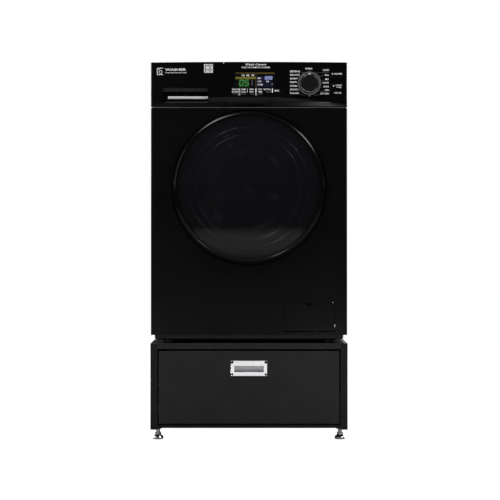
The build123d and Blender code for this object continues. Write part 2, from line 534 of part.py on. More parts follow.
# ================================================================ DOOR
with BuildPart() as door_frame:
    with BuildSketch(RING):
        with BuildLine():
            Polyline((216, -274), (213.4, -274), (213.4, -270), (205, -270), (205, -266.5), (168, -264), (165, -262.5), (165, -242),
                     (155, -242), (155, -239.5), (226.5, -239.5), (230, -243), (230, -260))
            ThreePointArc((230, -260), (225.5, -270), (216, -274))
        make_face()
    revolve(axis=AXIS)
    block(-240, -190, -260.5, -238, DOOR_Z - 21.2, DOOR_Z + 21.2, Mode.SUBTRACT)
    for z in (-36, 20):
        block(-240, -212, -262.6, -238, DOOR_Z + z, DOOR_Z + z + 16, Mode.SUBTRACT)
    block(203, 240, -257, -238, DOOR_Z - 42, DOOR_Z + 42, Mode.SUBTRACT)
    block(183, 198.5, -257, -238, DOOR_Z - 10, DOOR_Z + 10, Mode.SUBTRACT)
    rod_z(190, -249, DOOR_Z - 15, DOOR_Z + 15, 2.05, Mode.SUBTRACT)
save("door_frame", door_frame.part, "door_frame")

with BuildPart() as door_cover:
    with BuildSketch(RING):
        with BuildLine():
            Line((0, -270), (0, -295))
            ThreePointArc((0, -295), (110, -289.46), (213.2, -274))
            Polyline((213.2, -274), (213.2, -270), (0, -270))
        make_face()
    revolve(axis=AXIS)
    with BuildSketch(RING):
        with BuildLine():
            Line((0, -269), (0, -291))
            ThreePointArc((0, -291), (110, -285.13), (207, -270))
            Polyline((207, -270), (207, -269), (0, -269))
        make_face()
    revolve(axis=AXIS, mode=Mode.SUBTRACT)
save("door_cover", door_cover.part, "door_cover")

with BuildPart() as door_glass:
    with BuildSketch(RING):
        with BuildLine():
            Polyline((0, -148), (100, -150), (113, -152.5), (123, -158), (130, -168), (147, -225), (153, -242), (164.8, -242), (164.8, -246),
                     (147.5, -246), (142, -227), (125, -170), (119.5, -162), (111, -157.3), (98, -155), (0, -153), close=True)
        make_face()
    revolve(axis=AXIS)
save("door_glass", door_glass.part, "door_glass")

with BuildPart() as door_ring:
    with BuildSketch(RING):
        with BuildLine():
            Polyline((164.9, -246), (149, -246), (157, -262), (160, -263.5), (164.9, -263.2), close=True)
        make_face()
    revolve(axis=AXIS)
save("door_ring", door_ring.part, "door_ring")

with BuildPart() as door_hinge_arm:
    block(HINGE_X, -190, -260.5, -248, DOOR_Z - 21.2, DOOR_Z + 21.2)
    rod_z(HINGE_X, HINGE_Y, DOOR_Z - 21.2, DOOR_Z + 21.2, 5.5)
    rod_z(HINGE_X, HINGE_Y, DOOR_Z - 35, DOOR_Z + 35, HINGE_PIN_R)
save("door_hinge_arm", door_hinge_arm.part, "door_hinge_arm")

with BuildPart() as latch_hook:
    rod_z(190, -249, DOOR_Z - 14.5, DOOR_Z + 14.5, 2.0)
    rod_z(190, -249, DOOR_Z - 7, DOOR_Z + 7, 4.5)
    block(188.5, 192, -249, -224.5, DOOR_Z - 6, DOOR_Z + 6)
    block(192, 197, -229.5, -224.5, DOOR_Z - 6, DOOR_Z + 6)
    chamfer(latch_hook.edges().filter_by(Axis.Z).sort_by(Axis.X)[-1:], 3)
save("latch_hook", latch_hook.part, "latch_hook")

# ================================================================ TUB
with BuildPart() as tub_front:
    with BuildSketch(RING):
        with BuildLine():
            Polyline((168, -206), (171, -206), (171, -195), (TUB_R + TUB_WALL, -195), (TUB_R + TUB_WALL, -34), (274, -34), (274, -30),
                     (TUB_R, -30), (TUB_R, -191), (168, -191), close=True)
        make_face()
    revolve(axis=AXIS)
    with BuildSketch(Plane.XY.offset(960)):
        with Locations((-180, -60)):
            Circle(15)
            Circle(12, mode=Mode.SUBTRACT)
    extrude(until=Until.NEXT, dir=(0, 0, -1))
    with BuildSketch(Plane.XY.offset(490)):
        with Locations((90, -120)):
            Circle(17)
            Circle(14, mode=Mode.SUBTRACT)
    extrude(until=Until.NEXT, dir=(0, 0, 1))
save("tub_front", tub_front.part, "tub_front")

with BuildPart() as tub_rear:
    with BuildSketch(RING):
        with BuildLine():
            Polyline((TUB_R, -30), (274, -30), (274, -26), (TUB_R + TUB_WALL, -26), (TUB_R + TUB_WALL, 166), (45, 166), (45, 202), (15, 202),
                     (15, 152), (45, 152), (45, 162), (TUB_R, 162), close=True)
        make_face()
    revolve(axis=AXIS)
    with BuildSketch(front_plane(166)) as ribs:
        with Locations((0, DOOR_Z)):
            with PolarLocations(150, 12):
                Rectangle(212, 4)
    extrude(amount=-12)
    # spring ears
    for s in (-1, 1):
        with BuildSketch(front_plane(4)):
            Polygon((s * 218, 913.5), (s * 238, 879.5), (s * 238, 935), (s * 218, 935), align=None)
        extrude(amount=-12)
        rod_y(s * SPRING_X, 926, 2, 18, 4, Mode.SUBTRACT)
save("tub_rear", tub_rear.part, "tub_rear")

with BuildPart() as upper_weight:
    with BuildSketch(front_plane(-120)):
        with Locations((75, 1015)):
            RectangleRounded(270, 102, 14)
        with Locations((0, DOOR_Z)):
            Circle(TUB_R + TUB_WALL, mode=Mode.SUBTRACT)
    extrude(amount=-190)
    with BuildSketch(RING):
        with Locations((270.5, -30)):
            Rectangle(9, 12)
    revolve(axis=AXIS, mode=Mode.SUBTRACT)
    for x, y in ((-30, -90), (-30, 40), (170, -90), (170, 40)):
        rod_z(x, y, 1058, 1070, 12, Mode.SUBTRACT)
save("upper_weight", upper_weight.part, "upper_weight")

with BuildPart() as front_weight:
    with BuildSketch(RING):
        with Locations((220, -206)):
            RectangleRounded(70, 22, 4)
    revolve(axis=AXIS)
    block(-300, 300, -230, -190, DOOR_Z - 110, DOOR_Z + 300, Mode.SUBTRACT)
save("front_weight", front_weight.part, "front_weight")

# ================================================================ DRUM
with BuildPart() as drum:
    with BuildSketch(RING):
        with BuildLine():
            Polyline((MOUTH_R, -184), (MOUTH_R + 1.4, -184), (MOUTH_R + 1.4, -179.2), (236, -179.2), (240, -175), (240, 130), (30, 130),
                     (30, 128.8), (238.8, 128.8), (238.8, -174.5), (235.5, -178), (MOUTH_R, -178), close=True)
        make_face()
    revolve(axis=AXIS)
    with BuildSketch(front_plane(140)):
        with Locations((0, DOOR_Z)):
            with PolarLocations(200, 12, start_angle=15):
                Circle(4)
            with PolarLocations(100, 6, start_angle=30):
                Circle(4)
    extrude(amount=30, mode=Mode.SUBTRACT)
save("drum", drum.part, "drum")

with BuildPart() as drum_lifters:
    with BuildSketch(front_plane(-150)):
        with PolarLocations(0, 3, start_angle=90):
            Polygon((250, -34), (250, 34), (193, 12), (188, 0), (193, -12), align=None)
        Circle(238.8, mode=Mode.INTERSECT)
    extrude(amount=-262)
save("drum_lifters", drum_lifters.part.moved(Location((0, 0, DOOR_Z))), "drum_lifters")

with BuildPart() as drum_spider:
    with BuildSketch(front_plane(130)):
        with Locations((0, DOOR_Z)):
            Circle(42)
            with PolarLocations(130, 3, start_angle=30):
                Rectangle(200, 30)
    extrude(amount=-15)
    rod_y(0, DOOR_Z, 140, 222, SHAFT_R)
    with BuildSketch(front_plane(218)):
        with Locations((0, DOOR_Z)):
            RegularPolygon(21, 6)
    extrude(amount=-9)
save("drum_spider", drum_spider.part, "drum_spider")

with BuildPart() as drum_pulley:
    rod_y(0, DOOR_Z, BELT_Y0, BELT_Y1, 148.1)
    rod_y(0, DOOR_Z, BELT_Y0 + 5, BELT_Y1 + 1, 132, Mode.SUBTRACT)
    rod_y(0, DOOR_Z, BELT_Y0, BELT_Y1, 28)
    with BuildSketch(front_plane(BELT_Y0 - 1)):
        with Locations((0, DOOR_Z)):
            with PolarLocations(82, 6):
                RegularPolygon(34, 3, rotation=0)
    extrude(amount=-8, mode=Mode.SUBTRACT)
    rod_y(0, DOOR_Z, BELT_Y0 - 1, BELT_Y1 + 1, SHAFT_R, Mode.SUBTRACT)
save("drum_pulley", drum_pulley.part, "drum_pulley")

# ================================================================ MOTOR AND BELT
with BuildPart() as drive_belt:
    with BuildSketch(front_plane(BELT_Y0)):
        with Locations((0, DOOR_Z)):
            Circle(151.5)
        with Locations((MOTOR_X, MOTOR_Z)):
            Circle(14)
        make_hull()
    extrude(amount=BELT_Y0 - BELT_Y1)
    with BuildSketch(front_plane(BELT_Y0)):
        with Locations((0, DOOR_Z)):
            Circle(148.5)
        with Locations((MOTOR_X, MOTOR_Z)):
            Circle(11)
        make_hull()
    extrude(amount=BELT_Y0 - BELT_Y1, mode=Mode.SUBTRACT)
save("drive_belt", drive_belt.part, "drive_belt")

with BuildPart() as motor_housing:
    block(MOTOR_X - 48, MOTOR_X + 48, 85, 165, MOTOR_Z + 20, 530)
    rod_y(0, DOOR_Z, 80, 170, TUB_R + TUB_WALL, Mode.SUBTRACT)
    rod_y(MOTOR_X, MOTOR_Z, 60, 190, 60)
    rod_y(MOTOR_X, MOTOR_Z, 64, 186, 55, Mode.SUBTRACT)
    rod_y(MOTOR_X, MOTOR_Z, 186, 196, 20)
    rod_y(MOTOR_X, MOTOR_Z, 50, 200, 8.0, Mode.SUBTRACT)
save("motor_housing", motor_housing.part, "motor_housing")

with BuildPart() as motor_rotor:
    rod_y(MOTOR_X, MOTOR_Z, 56, 222, 7.95)
    rod_y(MOTOR_X, MOTOR_Z, 80, 168, 50)
    rod_y(MOTOR_X, MOTOR_Z, 201, 221, 10.6)
save("motor_rotor", motor_rotor.part, "motor_rotor")

# ================================================================ SUSPENSION
with BuildPart() as damper_cylinders:
    for x in (-DAMPER_X, DAMPER_X):
        rod_z(x, SPRING_Y, 330, 450, 16)
        rod_z(x, SPRING_Y, 336, 444, 13, Mode.SUBTRACT)
        rod_z(x, SPRING_Y, 440, 452, 5.05, Mode.SUBTRACT)
save("damper_cylinders", damper_cylinders.part, "damper_cylinders")

with BuildPart() as damper_rods:
    for x in (-DAMPER_X, DAMPER_X):
        rod_z(x, SPRING_Y, 358, 520, 5.0)
        rod_z(x, SPRING_Y, 358, 372, 12.4)
        block(x - 12, x + 12, SPRING_Y - 14, SPRING_Y + 14, 512, 556)
    rod_y(0, DOOR_Z, -10, 30, TUB_R + TUB_WALL, Mode.SUBTRACT)
save("damper_rods", damper_rods.part, "damper_rods")

with BuildPart() as suspension_springs:
    for s in (-1, 1):
        with BuildLine():
            coil = Helix(pitch=8, height=112, radius=11, center=(s * SPRING_X, SPRING_Y, 952))
        with BuildSketch(Plane(origin=coil @ 0, z_dir=coil % 0)):
            Circle(1.7)
        sweep(is_frenet=True)
        rod_z(s * SPRING_X, SPRING_Y, 1062, 1080, 1.7)
        rod_z(s * SPRING_X, SPRING_Y, 935, 954, 1.7)
        block(s * SPRING_X, s * SPRING_X + 11.5, SPRING_Y - 1.5, SPRING_Y + 1.5, 1062.5, 1065.5)
        block(s * SPRING_X, s * SPRING_X + 11.5, SPRING_Y - 1.5, SPRING_Y + 1.5, 950.5, 953.5)
save("suspension_springs", suspension_springs.part, "suspension_springs")

with BuildPart() as tub_hoses:
    with BuildLine() as run:
        Spline((90, -120, 490), (184, -185, 425), tangents=((0, 0, -1), (0, 0, -1)))
    with BuildSketch(Plane(origin=(90, -120, 490), z_dir=(0, 0, -1))):
        Circle(17)
        Circle(14, mode=Mode.SUBTRACT)
    sweep()
    rod_z(-180, -60, 978, 1034, 17)
    for z in (990, 998, 1006, 1014, 1022):
        rod_z(-180, -60, z, z + 4, 21)
    rod_z(-180, -60, 975, 1036, 15, Mode.SUBTRACT)
save("tub_hoses", tub_hoses.part, "tub_hoses")
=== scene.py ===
import json
import math
import bmesh
import bpy
from mathutils import Matrix, Vector


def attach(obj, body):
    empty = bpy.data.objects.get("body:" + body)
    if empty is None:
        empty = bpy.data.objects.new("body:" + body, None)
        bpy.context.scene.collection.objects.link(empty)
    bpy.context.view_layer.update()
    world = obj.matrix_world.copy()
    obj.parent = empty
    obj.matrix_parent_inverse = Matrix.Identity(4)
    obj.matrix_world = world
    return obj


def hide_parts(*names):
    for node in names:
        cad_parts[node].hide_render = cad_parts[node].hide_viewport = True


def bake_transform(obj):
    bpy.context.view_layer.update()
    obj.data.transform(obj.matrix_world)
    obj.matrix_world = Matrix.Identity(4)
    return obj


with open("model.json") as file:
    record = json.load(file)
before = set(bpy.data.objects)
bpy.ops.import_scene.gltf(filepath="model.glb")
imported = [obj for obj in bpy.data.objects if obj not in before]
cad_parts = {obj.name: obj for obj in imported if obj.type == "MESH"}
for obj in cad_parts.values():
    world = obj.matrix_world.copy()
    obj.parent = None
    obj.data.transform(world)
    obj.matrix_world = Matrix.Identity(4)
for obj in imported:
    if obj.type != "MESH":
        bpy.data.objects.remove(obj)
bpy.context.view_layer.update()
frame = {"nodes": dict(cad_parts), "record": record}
NODES = frame["nodes"]
scene = bpy.context.scene

# ------------------------------------------------------------------ lengths (metres, row frame)
DOOR_Z = 0.763
KX, KZ = 0.1823, 1.0775


def fascia_y(x):
    """Front face of the bowed control panel at x."""
    return -0.256 + 0.010 * (x / 0.2975) ** 2


# ------------------------------------------------------------------ materials
def material(name, color, rough=0.5, metal=0.0, vary=0.10, scale=60.0, bump=0.0, bump_scale=400.0, rough_vary=0.08,
             coat=0.0, coat_rough=0.05, spec=0.5, stretch=None, trans=0.0, ior=1.45, alpha=1.0, emit=None, emit_strength=0.0,
             kind="noise", sheen=0.0, wear=None):
    """Procedural finish: colour mottling, roughness variation and fine relief, all in object space."""
    m = bpy.data.materials.new(name)
    m.use_nodes = True
    t = m.node_tree
    b = t.nodes["Principled BSDF"]
    b.inputs["Metallic"].default_value = metal
    b.inputs["Specular IOR Level"].default_value = spec
    b.inputs["Coat Weight"].default_value = coat
    b.inputs["Coat Roughness"].default_value = coat_rough
    b.inputs["Transmission Weight"].default_value = trans
    b.inputs["IOR"].default_value = ior
    b.inputs["Alpha"].default_value = alpha
    b.inputs["Sheen Weight"].default_value = sheen
    if emit:
        b.inputs["Emission Color"].default_value = (*emit, 1)
        b.inputs["Emission Strength"].default_value = emit_strength
    co = t.nodes.new("ShaderNodeTexCoord")
    mp = t.nodes.new("ShaderNodeMapping")
    t.links.new(co.outputs["Object"], mp.inputs["Vector"])
    if stretch:
        mp.inputs["Scale"].default_value = stretch
    if kind == "spangle":
        n = t.nodes.new("ShaderNodeTexVoronoi")
        n.inputs["Scale"].default_value = scale
        fac = n.outputs["Color"]
    else:
        n = t.nodes.new("ShaderNodeTexNoise")
        n.inputs["Scale"].default_value = scale
        n.inputs["Detail"].default_value = 6
        fac = n.outputs["Fac"]
    t.links.new(mp.outputs["Vector"], n.inputs["Vector"])
    ramp = t.nodes.new("ShaderNodeValToRGB")
    lo = [max(0.0, c * (1 - vary)) for c in color]
    hi = [min(1.0, c * (1 + vary)) for c in color]
    ramp.color_ramp.elements[0].position = 0.3
    ramp.color_ramp.elements[1].position = 0.7
    ramp.color_ramp.elements[0].color = (*lo, 1)
    ramp.color_ramp.elements[1].color = (*hi, 1)
    t.links.new(fac, ramp.inputs["Fac"])
    out_color = ramp.outputs["Color"]
    if wear:
        geo = t.nodes.new("ShaderNodeNewGeometry")
        r2 = t.nodes.new("ShaderNodeValToRGB")
        r2.color_ramp.elements[0].position = 0.54
        r2.color_ramp.elements[1].position = 0.62
        t.links.new(geo.outputs["Pointiness"], r2.inputs["Fac"])
        mix = t.nodes.new("ShaderNodeMix")
        mix.data_type = "RGBA"
        mix.inputs["B"].default_value = (*wear, 1)
        t.links.new(r2.outputs["Color"], mix.inputs["Factor"])
        t.links.new(out_color, mix.inputs["A"])
        out_color = mix.outputs["Result"]
    t.links.new(out_color, b.inputs["Base Color"])
    mr = t.nodes.new("ShaderNodeMapRange")
    mr.inputs["To Min"].default_value = max(0.0, rough - rough_vary)
    mr.inputs["To Max"].default_value = min(1.0, rough + rough_vary)
    n2 = t.nodes.new("ShaderNodeTexNoise")
    n2.inputs["Scale"].default_value = scale * 0.35
    n2.inputs["Detail"].default_value = 4
    t.links.new(mp.outputs["Vector"], n2.inputs["Vector"])
    t.links.new(n2.outputs["Fac"], mr.inputs["Value"])
    t.links.new(mr.outputs["Result"], b.inputs["Roughness"])
    if bump:
        n3 = t.nodes.new("ShaderNodeTexNoise")
        n3.inputs["Scale"].default_value = bump_scale
        n3.inputs["Detail"].default_value = 3
        t.links.new(mp.outputs["Vector"], n3.inputs["Vector"])
        bp = t.nodes.new("ShaderNodeBump")
        bp.inputs["Strength"].default_value = bump
        bp.inputs["Distance"].default_value = 0.0004
        t.links.new(n3.outputs["Fac"], bp.inputs["Height"])
        t.links.new(bp.outputs["Normal"], b.inputs["Normal"])
    return m


M = {
    "enamel": material("enamel_black", (0.0036, 0.0036, 0.0042), 0.30, vary=0.12, scale=9, rough_vary=0.04, bump=0.05, bump_scale=520, spec=0.22),
    "powder": material("powder_coat_black", (0.0122, 0.0122, 0.0130), 0.46, vary=0.14, scale=16, rough_vary=0.05, bump=0.22, bump_scale=1400, spec=0.22),
    # lit copy of the same powder coat: a lighter colour painted on the pedestal top and the drawer front for the light
    # they catch
    "powder_painted_lit": material("powder_coat_painted_lit", (0.0262, 0.0262, 0.0280), 0.46, vary=0.10, scale=16, rough_vary=0.05, bump=0.22, bump_scale=1400, spec=0.22),
    "zinc": material("zinc_sheet", (0.55, 0.56, 0.58), 0.38, metal=1.0, vary=0.10, scale=85, kind="spangle", rough_vary=0.10),
    "steel_drum": material("drum_steel", (0.72, 0.73, 0.75), 0.24, metal=1.0, vary=0.05, scale=40, rough_vary=0.08, stretch=(1, 8, 1), bump=0.06, bump_scale=300),
    "chrome": material("bright_chrome", (0.86, 0.87, 0.90), 0.10, metal=1.0, vary=0.03, scale=30, rough_vary=0.04),
    "brushed": material("brushed_plate", (0.80, 0.81, 0.84), 0.26, metal=1.0, vary=0.05, scale=120, stretch=(0.05, 1, 3), rough_vary=0.07, bump=0.10, bump_scale=900),
    "gloss": material("gloss_plastic_black", (0.0032, 0.0032, 0.0038), 0.16, vary=0.10, scale=12, rough_vary=0.03, bump=0.02, bump_scale=300, spec=0.24),
    "gloss_cap": material("dial_cap_black", (0.010, 0.010, 0.011), 0.28, vary=0.10, scale=30, rough_vary=0.04, bump=0.05, bump_scale=900, spec=0.5),
    "matte": material("moulded_black", (0.016, 0.016, 0.017), 0.55, vary=0.18, scale=80, bump=0.25, bump_scale=1600, spec=0.4),
    "ring": material("door_inner_ring", (0.030, 0.031, 0.034), 0.30, vary=0.12, scale=40, rough_vary=0.05, bump=0.05, bump_scale=700),
    "grey": material("grey_polypropylene", (0.42, 0.43, 0.45), 0.50, vary=0.07, scale=45, bump=0.15, bump_scale=900),
    "tray": material("tray_plastic", (0.70, 0.71, 0.73), 0.36, vary=0.04, scale=30, bump=0.05, bump_scale=600),
    "window": material("smoked_window", (0.010, 0.010, 0.012), 0.05, vary=0.05, scale=10, rough_vary=0.01, trans=0.0, alpha=0.58, spec=0.30),
    "bowl": material("clear_bowl", (0.80, 0.84, 0.85), 0.03, vary=0.02, scale=10, rough_vary=0.01, trans=1.0, ior=1.47),
    "gasket": material("gasket_rubber", (0.115, 0.118, 0.122), 0.62, vary=0.14, scale=55, bump=0.20, bump_scale=700, sheen=0.1),
    "rubber": material("black_rubber", (0.02, 0.02, 0.021), 0.70, vary=0.2, scale=70, bump=0.25, bump_scale=900),
    "ballast": material("ballast_concrete", (0.40, 0.39, 0.37), 0.88, vary=0.28, scale=85, bump=0.8, bump_scale=260),
    "alloy": material("cast_alloy", (0.58, 0.59, 0.61), 0.44, metal=1.0, vary=0.09, scale=110, bump=0.35, bump_scale=500),
    "motor": material("motor_steel", (0.24, 0.25, 0.27), 0.42, metal=1.0, vary=0.14, scale=60, bump=0.12, bump_scale=500),
    "copper": material("copper_winding", (0.60, 0.26, 0.10), 0.35, metal=1.0, vary=0.2, scale=200, stretch=(1, 1, 12), bump=0.3, bump_scale=800),
    "satin": material("satin_metal", (0.92, 0.93, 0.97), 0.22, metal=0.88, vary=0.04, scale=120, stretch=(1, 1, 3), rough_vary=0.06, bump=0.06, bump_scale=900),
    "bright": material("bright_plate", (0.97, 0.97, 1.0), 0.08, metal=0.92, vary=0.03, scale=120, stretch=(0.05, 1, 3), rough_vary=0.05, bump=0.06, bump_scale=900),
    "cup": material("pull_cup_satin", (0.90, 0.90, 0.96), 0.42, metal=0.40, vary=0.08, scale=120, stretch=(0.05, 1, 3), rough_vary=0.06, bump=0.08, bump_scale=900),
    "plate": material("satin_plate", (0.93, 0.93, 0.97), 0.34, metal=0.22, vary=0.03, scale=120, stretch=(0.05, 1, 3), rough_vary=0.06, bump=0.08, bump_scale=900),
    "step": material("door_step_beads", (0.42, 0.43, 0.46), 0.20, metal=1.0, vary=0.05, scale=90, rough_vary=0.03),
    "liner": material("door_liner_plastic", (0.012, 0.012, 0.013), 0.26, vary=0.12, scale=40, rough_vary=0.04, bump=0.05, bump_scale=700),
    # grey for the key outlines and the line under the scoop; on the pocket band it is a painted highlight of the lip
    "lip": material("grey_lines_and_painted_lip_highlight", (0.045, 0.046, 0.050), 0.40, vary=0.15, scale=60, rough_vary=0.05, bump=0.05, bump_scale=700),
    "screw": material("black_screw", (0.012, 0.012, 0.012), 0.35, metal=0.6, vary=0.1, scale=200),
    # white print with a small emission: a painted glow that brightens the panel lettering, marks, pointer and key
    # symbols; on the display words it stands for the display's own light
    "print": material("white_print_painted_glow", (0.80, 0.81, 0.83), 0.55, vary=0.03, scale=200, spec=0.2, emit=(0.80, 0.81, 0.84), emit_strength=0.30),
    "print_dim": material("panel_print_grey", (0.20, 0.205, 0.215), 0.55, vary=0.05, scale=200, spec=0.2),
    "amber": material("display_amber", (0.06, 0.042, 0.008), 0.40, vary=0.1, scale=100, emit=(0.42, 0.28, 0.05), emit_strength=0.07),
    "olive": material("display_olive", (0.10, 0.09, 0.012), 0.40, vary=0.1, scale=100, emit=(0.38, 0.34, 0.05), emit_strength=0.19),
    "green": material("display_green", (0.03, 0.16, 0.03), 0.40, vary=0.1, scale=100, emit=(0.18, 0.80, 0.18), emit_strength=0.32),
    "green_glow": material("display_green_glow", (0.004, 0.016, 0.004), 0.40, vary=0.2, scale=100, emit=(0.03, 0.25, 0.04), emit_strength=0.05),
    "navy": material("display_navy", (0.004, 0.005, 0.022), 0.40, vary=0.2, scale=100, emit=(0.02, 0.03, 0.24), emit_strength=0.02),
    "lavender": material("display_lavender", (0.25, 0.27, 0.55), 0.40, vary=0.1, scale=100, emit=(0.50, 0.55, 1.0), emit_strength=0.50),
    "label": material("paper_label", (0.86, 0.86, 0.88), 0.75, vary=0.04, scale=90, bump=0.05, bump_scale=900, spec=0.2),
}

SLOT_MAT = {
    "cabinet_black": "enamel", "pedestal_grey": "powder", "zinc_steel": "zinc", "drum_steel": "steel_drum", "bright_chrome": "chrome",
    "gloss_black": "gloss", "matte_black": "matte", "grey_plastic": "grey", "tray_plastic": "tray", "smoked_window": "window",
    "clear_glass": "bowl", "grey_rubber": "gasket", "black_rubber": "rubber", "ballast": "ballast", "cast_alloy": "alloy", "motor_steel": "motor",
}
# pedestal_top and storage_drawer_front take the lit copy of the powder coat, a painted lighter tone
NODE_MAT = {"pedestal_top": "powder_painted_lit", "filter_flap": "enamel", "pedestal_base_frame": "powder", "storage_drawer_front": "powder_painted_lit", "door_ring": "ring", "program_dial": "gloss_cap", "flush_pull": "bright", "dial_ring": "satin", "pocket_trim": "plate", "fascia_trim": "satin"}
for sp in frame["record"]["subparts"]:
    o = NODES[sp["node"]]
    o.data.materials.clear()
    o.data.materials.append(M[NODE_MAT.get(sp["node"], SLOT_MAT[sp["material_slot"]])])


# ------------------------------------------------------------------ mesh helpers
def make(name, bm, mat, body, smooth=None):
    me = bpy.data.meshes.new(name)
    bmesh.ops.recalc_face_normals(bm, faces=bm.faces)
    bm.to_mesh(me)
    bm.free()
    o = bpy.data.objects.new(name, me)
    scene.collection.objects.link(o)
    for m in (mat if isinstance(mat, (list, tuple)) else [mat]):
        me.materials.append(M[m] if isinstance(m, str) else m)
    if smooth is not None:
        me.shade_smooth()
        me.set_sharp_from_angle(angle=math.radians(smooth))
    if body:
        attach(o, body)
    return o


def bm_box(bm, x0, x1, y0, y1, z0, z1):
    r = bmesh.ops.create_cube(bm, size=1.0)
    vs = r["verts"]
    bmesh.ops.scale(bm, vec=(x1 - x0, y1 - y0, z1 - z0), verts=vs)
    bmesh.ops.translate(bm, vec=((x0 + x1) / 2, (y0 + y1) / 2, (z0 + z1) / 2), verts=vs)
    return vs


def bm_rod(bm, a, b, r, seg=24, r2=None):
    a, b = Vector(a), Vector(b)
    d = b - a
    c = bmesh.ops.create_cone(bm, cap_ends=True, segments=seg, radius1=r, radius2=r if r2 is None else r2, depth=d.length)
    rot = Vector((0, 0, 1)).rotation_difference(d).to_matrix().to_4x4()
    bmesh.ops.transform(bm, matrix=Matrix.Translation((a + b) / 2) @ rot, verts=c["verts"])
    return c["verts"]


def bm_ring(bm, cx, cz, y0, y1, r0, r1, seg=96, a0=0.0, a1=2 * math.pi):
    """Flat ring about an axis along Y, from y0 to y1, between radii r0 and r1."""
    full = abs(a1 - a0) > 2 * math.pi - 1e-6
    n = seg if full else seg + 1
    loops = []
    for y, r in ((y0, r0), (y0, r1), (y1, r1), (y1, r0)):
        loops.append([bm.verts.new((cx + r * math.cos(a0 + (a1 - a0) * i / seg), y, cz + r * math.sin(a0 + (a1 - a0) * i / seg))) for i in range(n)])
    for k in range(4):
        A, B = loops[k], loops[(k + 1) % 4]
        for i in range(seg):
            j = (i + 1) % n if full else i + 1
            bm.faces.new((A[i], A[j], B[j], B[i]))
    if not full:
        for i in (0, n - 1):
            bm.faces.new([loops[k][i] for k in range(4)])


def bm_lathe(bm, prof, cz, seg=128):
    """Closed (r, y) profile turned about the door axis."""
    rings = []
    for r, y in prof:
        rings.append([bm.verts.new((r * math.cos(2 * math.pi * i / seg), y, cz + r * math.sin(2 * math.pi * i / seg))) for i in range(seg)])
    n = len(prof)
    for k in range(n):
        A, B = rings[k], rings[(k + 1) % n]
        for i in range(seg):
            j = (i + 1) % seg
            bm.faces.new((A[i], A[j], B[j], B[i]))


_text_parts = {}


def text(s, x, z, h, width=None, mat="print", group="panel_print", body="cabinet", y=None, align="LEFT", italic=False, thick=0.00012):
    """Generic lettering of cap height h on the panel front, collected into one mesh per group."""
    cu = bpy.data.curves.new("t", "FONT")
    cu.body = s
    cu.size = h / 0.70
    cu.align_x = align
    cu.resolution_u = 2
    cu.extrude = thick
    cu.offset = h * 0.018
    if italic:
        cu.shear = 0.35
    o = bpy.data.objects.new("t", cu)
    scene.collection.objects.link(o)
    bpy.context.view_layer.update()
    me = bpy.data.meshes.new_from_object(o.evaluated_get(bpy.context.evaluated_depsgraph_get()))
    bpy.data.objects.remove(o)
    xs = [v.co.x for v in me.vertices]
    k = 1.0
    if width and xs:
        k = width / (max(xs) - min(xs))
    for v in me.vertices:
        vx = x + v.co.x * k
        vy = (fascia_y(vx) if y is None else y) - 0.00025 - v.co.z
        v.co = Vector((vx, vy, z + v.co.y - h / 2))
    _text_parts.setdefault((group, mat, body), []).append(me)


def flush_text():
    for (group, mat, body), meshes in _text_parts.items():
        bm = bmesh.new()
        for me in meshes:
            bm.from_mesh(me)
        make(group, bm, mat, body)


def px(x):
    return (x - 249.0) * 0.003026


def pz(y):
    return 1.142 - (y - 62.5) * 0.003026


# ------------------------------------------------------------------ control panel print
# left: generic mark (ring with a bar) and two lines of generic words
bm = bmesh.new()
cx, cz = px(160.6), pz(71.6)
yy = fascia_y(cx) - 0.00015
for x0, x1, z0, z1 in ((-0.0105, 0.0105, 0.0088, 0.0105), (-0.0105, 0.0105, -0.0105, -0.0088), (-0.0105, -0.0088, -0.0088, 0.0088), (0.0088, 0.0105, -0.0088, 0.0088), (-0.0075, -0.0015, 0.0058, 0.0070)):
    bm_box(bm, cx + x0, cx + x1, yy - 0.0003, yy, cz + z0, cz + z1)
bm_ring(bm, cx, cz - 0.0018, yy - 0.0003, yy, 0.0038, 0.0052, 32)
make("panel_mark", bm, "print", "detergent_drawer")
text("WASHER", px(165.4), pz(69.9), 0.0072, width=0.063, group="drawer_print", body="detergent_drawer")
text("front load laundry care", px(165.4), pz(72.9), 0.0034, width=0.064, group="drawer_print", body="detergent_drawer")
# small plain label with a regular bar pattern
bm = bmesh.new()
lx, lz = px(208.6), pz(69.0)
ly = fascia_y(lx)
bm_box(bm, lx - 0.0133, lx + 0.0133, ly - 0.0004, ly - 0.00005, lz - 0.0130, lz + 0.0130)
make("square_label", bm, "label", "detergent_drawer")
bm = bmesh.new()
for i in range(5):
    for j in range(5):
        if (i * 2 + j * 3 + i * j) % 3 == 0:
            u = lx - 0.0088 + i * 0.0044
            v = lz - 0.0088 + j * 0.0044
            bm_box(bm, u - 0.0015, u + 0.0015, ly - 0.0006, ly - 0.0003, v - 0.0015, v + 0.0015)
make("square_label_pattern", bm, "matte", "detergent_drawer")

# words over the display
text("Wash Centre", px(255.4), pz(65.1), 0.0056, width=0.062, italic=True, align="CENTER")
text("FULLY AUTOMATIC WASHER", px(255.8), pz(68.0), 0.0046, width=0.086, align="CENTER")

